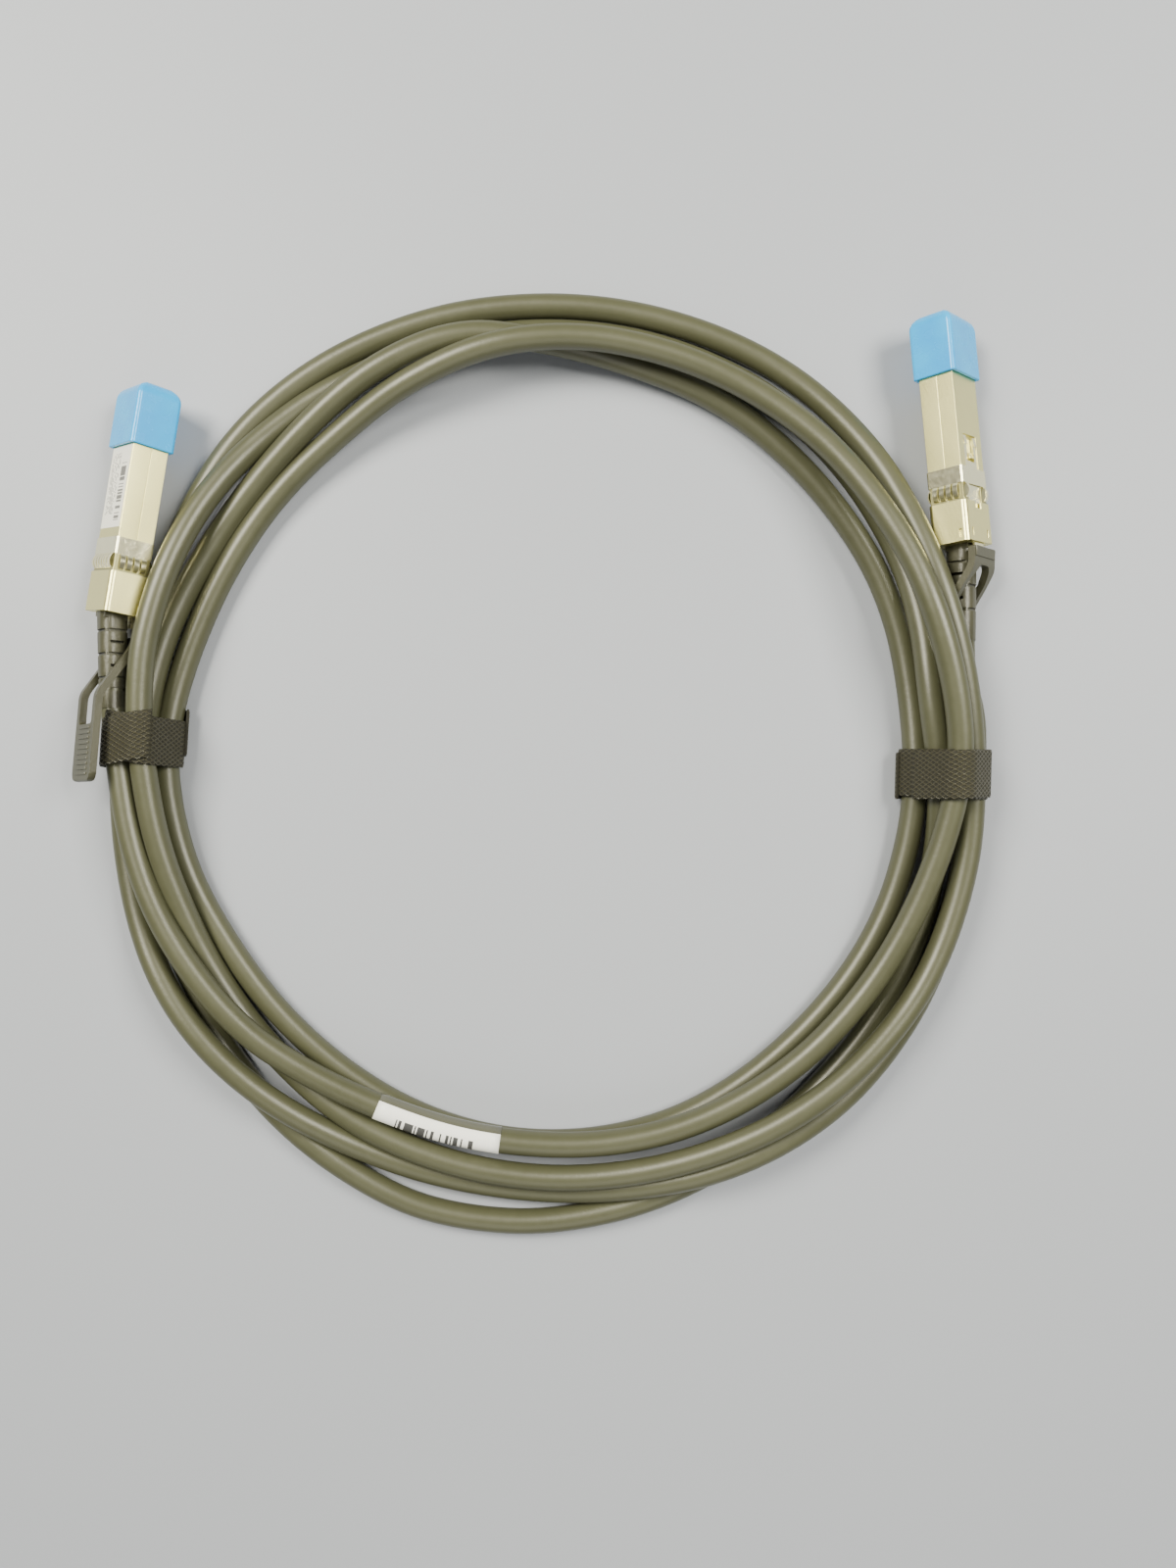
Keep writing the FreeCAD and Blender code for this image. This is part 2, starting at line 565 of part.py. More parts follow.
def emi_collar(side):
    """A stamped band round the nose, with rows of bowed fingers that touch the cage."""
    band = Moulding(side + "_band")
    width = S.nose_width + (S.metal_gap + S.collar_thick) * 2
    height = S.nose_height + (S.metal_gap + S.collar_thick) * 2
    band.pad(S.collar_front, S.band_length, width, height, corner=S.edge_round)
    band.pocket(S.collar_front, S.band_length, S.nose_width + S.metal_gap * 2, S.nose_height + S.metal_gap * 2)
    strips = []
    faces = [(0, S.nose_height, S.nose_width, 7, 0.0), (180, S.nose_height, S.nose_width, 7, S.channel_width.value / 2),
             (90, S.nose_width, S.nose_height, 4, 0.0), (270, S.nose_width, S.nose_height, 4, 0.0)]
    for angle, across, along, count, half_gap in faces:
        turn = FreeCAD.Rotation(FreeCAD.Vector(0, 1, 0), angle)
        lift = turn.multVec(FreeCAD.Vector(0, 0, across.value / 2 + S.metal_gap.value))
        for strip in finger_strip(half_gap, count):
            strip.Placement = FreeCAD.Placement(lift, turn)
            strips.append(fixed("%s_finger_%d" % (side, len(strips)), strip))
    return node(side + "_emi_collar", fuse(side + "_collar", [band.body] + strips),
                plug_frame(side, S.shell_length.value))


def back_shell(side):
    """The stamped sleeve round the rear of both halves, folded in over their rear face."""
    sleeve = Moulding(side + "_sleeve")
    width = S.nose_width + (S.metal_gap + S.shell_wall) * 2
    height = S.nose_height + (S.metal_gap + S.shell_wall) * 2
    sleeve.pad(0.0, S.shell_length, width, height, corner=S.shell_corner)
    sleeve.pocket(0.0, S.shell_length - S.shell_wall, S.nose_width + S.metal_gap * 2,
                  S.nose_height + S.metal_gap * 2)
    rear = -S.shell_length + S.shell_wall
    sleeve.pocket(rear, S.shell_wall, S.neck_width + S.metal_gap * 2, S.neck_height + S.metal_gap * 2,
                  z=CABLE_AXIS)
    slide_slot = S.channel_depth + S.metal_gap * 2
    sleeve.pocket(rear, S.shell_wall, S.channel_width, slide_slot, z=CHANNEL_FLOOR - slide_slot / 2)
    # the latch face's front notch, its two rear slots, and a slot at each side face's rear corner
    skin = S.shell_wall + S.metal_gap
    sleeve.pocket(0.0, S.window_length, S.window_width, skin * 2, z=UNDERSIDE - skin / 2)
    for x in (-1, 1):
        sleeve.pocket(rear + S.slot_length + 0.8, S.slot_length, S.slot_width, skin * 2,
                      z=UNDERSIDE - skin / 2, x=(S.channel_width / 2 + S.slot_width) * x)
        sleeve.pocket(rear + S.slot_length + 0.4, S.slot_length, skin * 2, S.slot_width,
                      z=UNDERSIDE + S.slot_width * 2, x=(S.nose_width / 2 + skin / 2) * x)
    return node(side + "_back_shell", sleeve.body, plug_frame(side, S.shell_length.value))


def latch_slide(side):
    """The stamped slide: a plate in the channel, a fork round the boss with ramped tips, a lug for
    the spring and a tang in the pull tab."""
    width = S.channel_width - S.slide_side_play * 2
    plate_front = S.boss_front - S.boss_length - S.boss_gap
    rear = -S.shell_length - 0.2
    plate = block(side + "_plate", width, plate_front - rear, S.slide_thick, y=plate_front, z=SLIDE_UNDERSIDE)
    tang = block(side + "_tang", S.tang_width, S.tang_length + 0.4, S.slide_thick, y=rear + 0.4, z=SLIDE_UNDERSIDE)
    pieces = [plate, tang]
    for x in (-1, 1):
        across = (width / 2 - S.prong_width / 2) * x
        pieces.append(block("%s_prong_%d" % (side, x + 1), S.prong_width, S.prong_length + 0.4, S.slide_thick,
                            x=across, y=plate_front + S.prong_length, z=SLIDE_UNDERSIDE))
        ramp = DOC.addObject("Part::Wedge", "%s_ramp_%d" % (side, x + 1))
        for prop in ("Xmin", "Zmin", "Ymin", "X2min"):
            setattr(ramp, prop, 0.0)
        bind(ramp, "Xmax", S.prong_width)
        bind(ramp, "X2max", S.prong_width)
        bind(ramp, "Ymax", S.ramp_length)
        bind(ramp, "Zmax", S.ramp_rise + 0.1)
        bind(ramp, "Z2min", S.ramp_rise)
        bind(ramp, "Z2max", S.ramp_rise + 0.1)
        put(ramp, across - S.prong_width / 2, plate_front + S.prong_length - S.ramp_length,
            SLIDE_UNDERSIDE - S.ramp_rise)
        pieces.append(ramp)
    lug_height = SLIDE_LUG_TOP - SLIDE_UNDERSIDE
    pieces.append(block(side + "_lug", S.lug_width, S.lug_thick, lug_height,
                        y=S.pocket_front - S.lug_thick / 2, z=SLIDE_UNDERSIDE))
    return node(side + "_latch_slide", fuse(side + "_slide", pieces), plug_frame(side, S.shell_length.value))


def return_spring(side):
    """The coil spring between the pocket's rear wall and the slide's lug."""
    rear = S.pocket_rear + 0.02
    front = S.pocket_front - S.lug_thick * 1.5 - 0.02
    length = (front - rear - S.spring_wire).value
    radius = ((S.spring_outer - S.spring_wire) / 2).value
    helix = Part.makeHelix(length / S.spring_turns.value, length, radius)
    section = Part.Wire([Part.Circle(FreeCAD.Vector(radius, 0, 0), FreeCAD.Vector(0, 1, 0),
                                     S.spring_wire.value / 2).toShape()])
    coil = Part.Wire(helix.Edges).makePipeShell([section], True, True)
    coil.Placement = FreeCAD.Placement(
        FreeCAD.Vector(0, (rear + S.spring_wire / 2).value, SPRING_AXIS.value),
        FreeCAD.Rotation(FreeCAD.Vector(1, 0, 0), -90))
    placed = fixed(side + "_spring", coil.copy())
    return node(side + "_return_spring", placed,
                plug_frame(side, S.shell_length.value).multiply(coil.Placement))


def boot(side):
    """The moulded strain relief: a neck in the back shell, a ribbed body and a plain tail."""
    tail = plug_frame(side, 0.0, getattr(S, side + "_boot_yaw").value, getattr(S, side + "_boot_droop").value)
    here = plug_frame(side)
    lean = here.inverse().multiply(tail)
    body = Moulding(side + "_boot_body")
    body.loft([((1.0, S.boot_front, S.boot_front), {"corner": S.boot_round, "z": CABLE_AXIS}),
               ((-S.boot_ribbed, S.boot_middle, S.boot_middle), {"corner": S.boot_round + 0.3, "z": CABLE_AXIS}),
               ((-S.boot_length, S.boot_tail, S.boot_tail), {"corner": S.boot_tail / 2 - 0.15, "z": CABLE_AXIS})])
    grooves = []
    wide = S.boot_front * 2
    for index in range(6):
        y = -S.groove_first - S.groove_pitch * index + S.groove_width / 2
        name = "%s_groove_%d_" % (side, index)
        for way in (-1, 1):
            reach = (S.boot_front / 2 - S.groove_depth) if way > 0 else -S.boot_front / 2 - 1
            if index % 2 == 0:
                grooves.append(block(name + "z%d" % (way + 1), wide, S.groove_width, S.groove_depth + 1, y=y,
                                     z=CABLE_AXIS + reach))
                grooves.append(block(name + "x%d" % (way + 1), S.groove_depth * 2, S.groove_width, wide,
                                     x=S.boot_front / 2 * way, y=y, z=CABLE_AXIS - S.boot_front))
            else:
                grooves.append(block(name + "x%d" % (way + 1), S.slot_depth * 2, S.groove_width, S.slot_height,
                                     x=S.boot_front / 2 * way, y=y, z=CABLE_AXIS - S.slot_height / 2))
    ribbed = cut(side + "_boot_ribbed_part", body.body, grooves)
    ribbed.Placement = lean
    neck_length = S.shell_wall + S.metal_gap + 1.2
    neck = block(side + "_boot_neck", S.neck_width, neck_length, S.neck_height, y=S.shell_wall + S.metal_gap,
                 z=CABLE_AXIS - S.neck_height / 2)
    behind = block(side + "_boot_limit", 40.0, 40.0, 40.0, y=0.0, z=-20.0)
    seated = DOC.addObject("Part::MultiCommon", side + "_boot_seated")
    seated.Shapes = [ribbed, behind]
    whole = fuse(side + "_boot_whole", [seated, neck])
    relief = block(side + "_tang_relief", S.tang_width + 0.8, S.tang_length + S.latch_travel + 0.8,
                   S.slide_thick + 0.7, y=-0.05, z=SLIDE_UNDERSIDE - 0.35)
    return node(side + "_boot", cut(side + "_boot_relieved", whole, [relief]), here)


def side_profile(margin=0.0):
    """The tab seen from the side: flat at its root, a slope past the boot, and flat to the grip."""
    half = S.tab_thick.value / 2 + margin
    length, root, slope_end = S.tab_length.value, S.tab_root.value, S.slope_end.value
    low, high = -S.tab_offset.value, S.grip_offset.value
    rise = math.atan2(high - low, slope_end - root)
    shift = half * math.tan(rise / 2)
    point = FreeCAD.Vector
    start = -1.0 + margin
    length += margin
    lower = [point(0, start, low - half), point(0, -root - shift, low - half),
             point(0, -slope_end - shift, high - half), point(0, -length, high - half)]
    upper = [point(0, -length, high + half), point(0, -slope_end + shift, high + half),
             point(0, -root + shift, low + half), point(0, start, low + half)]
    bend = 6.0
    radii = [0.4, bend, bend, 0.6, 0.6, bend, bend, 0.4]
    return rounded_wire(lower + upper, radii)


def tab_outline(margin=0.0):
    """The tab seen from above: a straight root, a bulge round the boot and the straight grip."""
    half, bulge = S.tab_width.value / 2 + margin, S.tab_bulge.value / 2 + margin
    length, root = S.tab_length.value + margin, S.tab_root.value
    right = [(half, -1.0 + margin), (half, -root + 1.5), (bulge, -root - 5.0), (half, -root - 17.0), (half, -length)]
    left = [(-x, y) for x, y in reversed(right)]
    radii = [0.5, 10.0, 12.0, 30.0, 2.4]
    points = [FreeCAD.Vector(x, y, 0) for x, y in right + left]
    return rounded_wire(points, radii + radii[::-1])


def tab_hole():
    """The long hole that the boot passes through."""
    arm = S.tab_arm.value
    half, bulge = S.tab_width.value / 2 - arm, S.tab_bulge.value / 2 - arm
    root, end = S.tab_root.value, S.tab_length.value - S.grip_length.value
    right = [(half * 0.6, -root + 0.6), (bulge, -root - 3.6), (bulge - 0.3, -root - 10.0), (half, -root - 17.0),
             (half, -end)]
    left = [(-x, y) for x, y in reversed(right)]
    radii = [1.8, 4.5, 12.0, 20.0, 0.8]
    points = [FreeCAD.Vector(x, y, 0) for x, y in right + left]
    return rounded_wire(points, radii + radii[::-1])


def tab_solid(plan_face, margin=0.0):
    """The tab's sloping sheet, trimmed to a plan."""
    span = S.tab_bulge.value * 2
    sheet = Part.Face(side_profile(margin)).extrude(FreeCAD.Vector(span, 0, 0))
    sheet.translate(FreeCAD.Vector(-span / 2, 0, 0))
    plan = plan_face.extrude(FreeCAD.Vector(0, 0, span))
    plan.translate(FreeCAD.Vector(0, 0, -span / 2))
    return sheet.common(plan)


def tab_frame(side):
    return plug_frame(side, 0.0, getattr(S, side + "_tab_yaw").value, getattr(S, side + "_tab_droop").value)


def tab_room(side):
    """The space that the tab sweeps as it is pulled, with room round it."""
    margin = S.tab_room.value
    room = tab_solid(Part.Face(tab_outline(margin)), margin)
    room.Placement = tab_frame(side)
    pulled = room.copy()
    travel = plug_frame(side).Rotation.multVec(FreeCAD.Vector(0, -S.latch_travel.value, 0))
    pulled.translate(travel)
    return room.fuse(pulled)


def plug_room(side):
    """The plug's housing with room round it, which the coil stays out of."""
    margin = S.metal_gap.value + S.shell_wall.value + 0.3
    across, high = S.nose_width.value + margin * 2, S.nose_height.value + margin * 2
    room = Part.makeBox(across, S.nose_length.value + S.shell_length.value + 0.3, high,
                        FreeCAD.Vector(-across / 2, -0.3, -high / 2))
    room.Placement = plug_frame(side)
    return room


def pull_tab(side):
    """The flexible pull tab: one moulded loop from the latch slide, past the boot, to its grip."""
    loop = fixed(side + "_loop", tab_solid(Part.Face(tab_outline()).cut(Part.Face(tab_hole()))))
    step = block(side + "_tab_step", S.tab_width - 1.0, S.tab_step, S.tab_thick + 0.2, y=-1.1,
                 z=-S.tab_offset - S.tab_thick / 2 - 0.25)
    ribs = []
    for index in range(int(S.rib_count.value)):
        y = -S.tab_length + 1.6 + S.rib_pitch * index + S.rib_width
        ribs.append(block("%s_rib_%d" % (side, index), S.rib_length, S.rib_width, S.rib_rise + 0.1, y=y,
                          z=S.grip_offset + S.tab_thick / 2 - 0.1))
    whole = fuse(side + "_tab_whole", [loop, step] + ribs)
    here = plug_frame(side)
    whole.Placement = here.inverse().multiply(tab_frame(side))
    seat = block(side + "_tang_seat", S.tang_width + 0.04, S.tang_length + 1.2, S.slide_thick + 0.04,
                 y=0.6, z=SLIDE_UNDERSIDE - 0.02)
    return node(side + "_pull_tab", cut(side + "_tab", whole, [seat]), here)


def dust_cap(side):
    """The moulded cap that slips over the nose."""
    cap = Moulding(side + "_cap")
    inner_width = S.nose_width + S.cap_gap * 2
    inner_height = S.nose_height + (S.cap_gap + S.label_thick) * 2
    tip = S.nose_length + S.cap_end_gap + S.cap_end
    cap.pad(tip, S.cap_length, inner_width + S.cap_wall * 2, inner_height + S.cap_wall * 2, corner=S.cap_round)
    cap.round_end(S.cap_dome, tip.value)
    cap.pocket(tip - S.cap_end, S.cap_length - S.cap_end, inner_width, inner_height)
    return node(side + "_dust_cap", cap.body, plug_frame(side, S.shell_length.value))


def module_label(side):
    """The paper label on the plug's wide face, between the cap and the collar."""
    front = S.nose_length + S.cap_end_gap + S.cap_end - S.cap_length - 0.2
    label = block(side + "_label", S.label_width, S.label_length, S.label_thick, y=front, z=S.nose_height / 2)
    return node(side + "_module_label", group(side + "_label_stuck", [label]),
                plug_frame(side, S.shell_length.value))


# ---------------------------------------------------------------- the coil, its leads, straps and label

def lane(angle):
    """A strand's distance from the centre and height at an angle walked, eased between its keys."""
    for before, after in zip(TURN_KEYS, TURN_KEYS[1:]):
        if before[0] <= angle <= after[0]:
            part = (angle - before[0]) / (after[0] - before[0])
            ease = part * part * (3 - 2 * part)
            radius, height = (a + (b - a) * ease for a, b in zip(before[1:], after[1:]))
            return radius / 100 * RING_RADIUS, height / 6.2 * CABLE_OUTER
    return None


def strands_at(angle):
    """Every strand that crosses the ring's section at this angle."""
    found = []
    walked = angle % 360
    while walked <= TURN_KEYS[-1][0]:
        here = lane(walked)
        if here:
            found.append(here)
        walked += 360
    return found


def ring_point(angle, radius, height):
    turn = math.radians(angle)
    return FreeCAD.Vector(S.ring_x.value + radius * math.cos(turn), S.ring_y.value + radius * math.sin(turn), height)


def bundle_polygon(strands, reach):
    """The flats drawn tight round a section's strands, one for each of SECTION_SIDES directions."""
    flats = []
    for index in range(SECTION_SIDES):
        turn = 2 * math.pi * index / SECTION_SIDES
        flats.append((turn, max(r * math.cos(turn) + z * math.sin(turn) for r, z in strands) + reach))
    corners = []
    for (turn, far), (after, next_far) in zip(flats, flats[1:] + flats[:1]):
        bend = math.sin(after - turn)
        corners.append(((far * math.sin(after) - next_far * math.sin(turn)) / bend,
                        (next_far * math.cos(turn) - far * math.cos(after)) / bend))
    return corners


def tight_round(strands):
    """The strands that a band pulled tight round the section would touch, anticlockwise."""
    ordered = sorted(set(strands))
    sides = []
    for row in (ordered, ordered[::-1]):
        side = []
        for spot in row:
            while len(side) > 1 and ((side[-1][0] - side[-2][0]) * (spot[1] - side[-2][1])
                                     - (side[-1][1] - side[-2][1]) * (spot[0] - side[-2][0])) <= 0:
                side.pop()
            side.append(spot)
        sides += side[:-1]
    kept = sides[:1]
    for spot in sides[1:]:
        if math.dist(spot, kept[-1]) > 0.6 and math.dist(spot, kept[0]) > 0.6:
            kept.append(spot)
    return kept


def band_wire(angle, strands, reach):
    """A closed wire in the ring's radial plane at one distance outside the strands' centres."""
    hull = tight_round(strands)
    edges = []
    for index, (r, z) in enumerate(hull):
        before, after = hull[index - 1], hull[(index + 1) % len(hull)]
        start = math.atan2(z - before[1], r - before[0]) - math.pi / 2
        end = math.atan2(after[1] - z, after[0] - r) - math.pi / 2
        end += 2 * math.pi if end < start else 0.0
        spots = [ring_point(angle, r + reach * math.cos(t), z + reach * math.sin(t))
                 for t in (start, (start + end) / 2, end)]
        edges.append(Part.Arc(*spots).toShape())
        far = ring_point(angle, after[0] + reach * math.cos(end), after[1] + reach * math.sin(end))
        edges.append(Part.makeLine(spots[2], far))
    return Part.Wire(Part.__sortEdges__(edges))


def strap_reach():
    """Half the angle over which a strap holds the bundle, with a little on each side."""
    return math.degrees((S.strap_width.value / 2 + 2) / 100)


def strapped(strap_angle):
    """Every strand's place over the width of a strap."""
    found = []
    for part in (-1, -0.5, 0, 0.5, 1):
        found += strands_at(strap_angle + strap_reach() * part)
    lowest = S.strap_thick.value + S.strap_gap.value + S.cable_outer.value / 2
    return [(r, max(z, lowest)) for r, z in found]


def band(angle, inner, outer, width):
    """A band between two distances outside the strapped strands' centres."""
    turn = math.radians(angle)
    tangent = FreeCAD.Vector(-math.sin(turn), math.cos(turn), 0)
    held = strapped(angle)
    ring = Part.Face([band_wire(angle, held, outer), band_wire(angle, held, inner)])
    ring.validate()
    ring.translate(tangent * (-width / 2))
    return ring.extrude(tangent * width)


def coil():
    """One closed solid of the outer shape of the wound cable."""
    half = S.cable_outer.value / 2
    stations = {}
    straps = (LEFT_STRAP_ANGLE, RIGHT_STRAP_ANGLE)
    for angle in range(0, 360, RING_STEP):
        if all(abs((angle - strap + 180) % 360 - 180) > strap_reach() + 2 for strap in straps):
            stations[float(angle)] = bundle_polygon(strands_at(angle), half)
    for strap in straps:
        for part in (-1, 1):
            stations[(strap + strap_reach() * part) % 360] = bundle_polygon(strapped(strap), half)
    angles = sorted(stations)
    wires = [Part.makePolygon([ring_point(angle, r, z) for r, z in stations[angle] + stations[angle][:1]])
             for angle in angles]
    spans = [Part.makeLoft([wire, wires[(index + 1) % len(wires)]], True, True)
             for index, wire in enumerate(wires)]
    whole = spans[0].multiFuse(spans[1:])
    for strap in straps:
        whole = whole.cut(band(strap, half + 0.05, half + 5.0, S.strap_width.value + 1.0))
    return whole


def strap(label, angle):
    """A strap pulled tight round the bundle, its underside on the surface below."""
    inner = S.cable_outer.value / 2 + S.strap_gap.value
    return node(label, fixed(label, band(angle, inner, inner + S.strap_thick.value, S.strap_width.value)))


def cable_label():
    """The label wrapped round the top strand, as the sheet that shows on top of it."""
    start, end = S.wrap_start.value, S.wrap_end.value
    middle = (start + end) / 2
    radius = lane(middle)[0]
    half = S.cable_outer.value / 2
    first = int(start // RING_STEP) * RING_STEP
    tops = [z for angle in range(first, int(end) + RING_STEP, RING_STEP) for _, z in strands_at(angle)]
    top = max(tops) + half + 0.02
    edges = []
    for r in (radius - half, radius + half):
        edges.append(Part.Arc(*[ring_point(a, r, top) for a in (start, middle, end)]).toShape())
    for a in (start, end):
        edges.append(Part.makeLine(ring_point(a, radius - half, top), ring_point(a, radius + half, top)))
    sheet = Part.Face(Part.Wire(Part.__sortEdges__(edges))).extrude(FreeCAD.Vector(0, 0, S.wrap_thick.value))
    return node("cable_label", fixed("cable_label", sheet))


def lead(side, through, coil_shape):
    """The short plain stretch from the boot's tail into the coil."""
    tail = plug_frame(side, 0.0, getattr(S, side + "_boot_yaw").value, getattr(S, side + "_boot_droop").value)
    start = tail.multVec(FreeCAD.Vector(0, -S.boot_length.value, CABLE_AXIS.value))
    ahead = tail.multVec(FreeCAD.Vector(0, -S.boot_length.value - 8.0, CABLE_AXIS.value))
    solid, length, radii = tube([start, ahead] + through, S.cable_outer.value / 2)
    print(side, "lead: length %.1f, radii %s" % (length, ", ".join("%.0f" % r for r in radii)))
    left = solid.cut(coil_shape).cut(tab_room(side))
    pieces = sorted(left.Solids, key=lambda piece: piece.CenterOfMass.distanceToPoint(start))
    return node(side + "_lead", fixed(side + "_lead", pieces[0]))


# ---------------------------------------------------------------- the whole

def check_and_write():
    DOC.recompute()
    for thing in DOC.Objects:
        if "Invalid" in thing.State or "Error" in thing.State:
            raise RuntimeError("failed object: " + thing.Name)
    for label, feature in NODES.items():
        shape = feature.Shape
        if shape.isNull() or not shape.isValid() or not shape.Solids:
            raise RuntimeError("bad shape: " + label)
    os.makedirs("parts", exist_ok=True)
    for label, feature in NODES.items():
        feature.Shape.exportStep("parts/%s.step" % label)
        box = feature.Shape.BoundBox
        print("%-20s solids %2d volume %9.2f  box %s" % (label, len(feature.Shape.Solids), feature.Shape.Volume,
              " ".join("%.2f" % v for v in (box.XMin, box.XMax, box.YMin, box.YMax, box.ZMin, box.ZMax))))


for plug_side in ("left", "right"):
    for build_piece in (shell_base, shell_cover, paddle_card, card_contacts, ferrule, twinax_wires, emi_collar,
                        back_shell, latch_slide, return_spring, boot, pull_tab, dust_cap):
        build_piece(plug_side)
module_label("left")

DOC.recompute()
whole_coil = coil()
for plug_side in ("left", "right"):
    for name in ("boot", "back_shell"):
        whole_coil = whole_coil.cut(NODES["%s_%s" % (plug_side, name)].Shape)
    whole_coil = whole_coil.cut(tab_room(plug_side)).cut(plug_room(plug_side))
node("coil", fixed("coil", whole_coil))
strap("left_strap", LEFT_STRAP_ANGLE)
strap("right_strap", RIGHT_STRAP_ANGLE)
cable_label()
lead("right", [ring_point(6.5, 105.9, 8.05), ring_point(0, 105.6, 4.8)], whole_coil)
check_and_write()
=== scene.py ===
import math

import bmesh
import bpy
from mathutils import Matrix, Vector


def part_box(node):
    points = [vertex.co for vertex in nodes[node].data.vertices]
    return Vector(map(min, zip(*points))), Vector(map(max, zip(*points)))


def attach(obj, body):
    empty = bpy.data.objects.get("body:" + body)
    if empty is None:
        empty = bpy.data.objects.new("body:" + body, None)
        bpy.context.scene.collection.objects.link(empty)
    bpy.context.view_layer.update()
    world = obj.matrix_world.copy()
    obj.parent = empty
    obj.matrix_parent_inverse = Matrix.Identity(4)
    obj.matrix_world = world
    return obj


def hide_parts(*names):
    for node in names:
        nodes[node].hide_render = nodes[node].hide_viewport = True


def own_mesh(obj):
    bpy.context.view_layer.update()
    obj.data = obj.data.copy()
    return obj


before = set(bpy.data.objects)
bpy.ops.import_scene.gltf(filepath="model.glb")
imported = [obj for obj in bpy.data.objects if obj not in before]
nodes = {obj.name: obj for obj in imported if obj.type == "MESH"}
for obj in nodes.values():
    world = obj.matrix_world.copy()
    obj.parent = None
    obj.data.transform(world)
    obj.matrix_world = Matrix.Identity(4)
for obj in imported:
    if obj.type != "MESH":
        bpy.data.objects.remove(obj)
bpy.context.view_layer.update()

# ---------------------------------------------------------------- the table and the camera
# The cable lies on a pale table in soft light, and the camera looks straight down on it from
# 300 mm, with the long side of its view 67.3 degrees wide.

# the middle of the cable's ring, which most other places are measured from
RING_X, RING_Y = 0.00272, -0.05091
EYE = Vector((RING_X + 0.00998, RING_Y - 0.00499, 0.300))
# the lens's focal length, as a share of the long side of its view
FOCAL_SHARE = 0.75125

camera = bpy.data.objects.new("camera", bpy.data.cameras.new("camera"))
camera.data.sensor_fit = "VERTICAL"
camera.data.angle = 2 * math.atan(0.5 / FOCAL_SHARE)
camera.data.clip_start = 0.01
camera.location = EYE
bpy.context.collection.objects.link(camera)
bpy.context.scene.camera = camera


class Shade:
    """A shader socket that Python's operators work on, each adding one Math node."""

    # a colour Mix node's two colours and its result, by their numbers
    FIRST, SECOND, MIXED = 6, 7, 2

    def __init__(self, tree, socket):
        self.tree, self.socket = tree, socket

    def _math(self, operation, *values):
        return self.node("ShaderNodeMath", {"operation": operation}, dict(enumerate(values)))

    def node(self, kind, settings=None, values=None, out=0):
        """A new node with its settings, and the values or links of its sockets."""
        made = self.tree.nodes.new(kind)
        for name, setting in (settings or {}).items():
            setattr(made, name, setting)
        for name, value in (values or {}).items():
            socket = made.inputs[name]
            if isinstance(value, Shade):
                self.tree.links.new(value.socket, socket)
            else:
                socket.default_value = value
        return Shade(self.tree, made.outputs[out])

    def __add__(self, other): return self._math("ADD", self, other)
    def __radd__(self, other): return self._math("ADD", other, self)
    def __sub__(self, other): return self._math("SUBTRACT", self, other)
    def __rsub__(self, other): return self._math("SUBTRACT", other, self)
    def __mul__(self, other): return self._math("MULTIPLY", self, other)
    def __rmul__(self, other): return self._math("MULTIPLY", other, self)
    def __pow__(self, other): return self._math("POWER", self, other)
    def __gt__(self, other): return self._math("GREATER_THAN", self, other)
    def __lt__(self, other): return self._math("LESS_THAN", self, other)
    def sin(self): return self._math("SINE", self)
    def frac(self): return self._math("FRACT", self)
    def floor(self): return self._math("FLOOR", self)
    def low(self, other): return self._math("MINIMUM", self, other)
    def high(self, other): return self._math("MAXIMUM", self, other)

    def mix(self, first, second):
        """Two colours mixed, this socket being the share of the second."""
        first, second = [c if isinstance(c, Shade) else (*c, 1) for c in (first, second)]
        return self.node("ShaderNodeMix", {"data_type": "RGBA"},
                         {0: self, self.FIRST: first, self.SECOND: second}, self.MIXED)

    def between(self, low, high):
        """This socket's 0 to 1 spread over another range."""
        return self * (high - low) + low


class Finish:
    """A material on one Principled shader."""

    def __init__(self, name, **fixed):
        self.material = bpy.data.materials.new(name)
        self.material.use_nodes = True
        self.tree = self.material.node_tree
        self.shader = next(n for n in self.tree.nodes if n.type == "BSDF_PRINCIPLED")
        self.start = Shade(self.tree, None)
        for socket, value in fixed.items():
            self.set(socket.replace("_", " "), value)

    def set(self, socket, value):
        """Links or sets one of the shader's sockets."""
        target = self.shader.inputs[socket]
        if isinstance(value, Shade):
            self.tree.links.new(value.socket, target)
        else:
            target.default_value = (*value, 1) if target.type == "RGBA" else value

    def place(self):
        """The point on the piece, in the table's metres."""
        return self.start.node("ShaderNodeTexCoord", out="Object")

    def axes(self, vector):
        """A vector's three numbers, as sockets."""
        split = self.start.node("ShaderNodeSeparateXYZ", values={0: vector})
        return [Shade(self.tree, output) for output in split.socket.node.outputs]

    def own_map(self, name):
        """The two numbers of the piece's own map, as sockets."""
        return self.axes(self.start.node("ShaderNodeUVMap", {"uv_map": name}))[:2]

    def noise(self, scale, detail=3.0):
        """Cloudy noise, so many clouds to the metre."""
        return self.start.node("ShaderNodeTexNoise", values={
            "Vector": self.place(), "Scale": scale, "Detail": detail})

    def bump(self, height, strength, distance):
        """Fine relief, its height a share of a distance in metres."""
        self.set("Normal", self.start.node("ShaderNodeBump", values={
            "Strength": strength, "Distance": distance, "Height": height}))


def plain(piece, material):
    """One material on the whole piece."""
    piece.data.materials.clear()
    piece.data.materials.append(material)


TABLE_SIDE, TABLE_MIDDLE = 3.0, Vector((0, 0, 0))

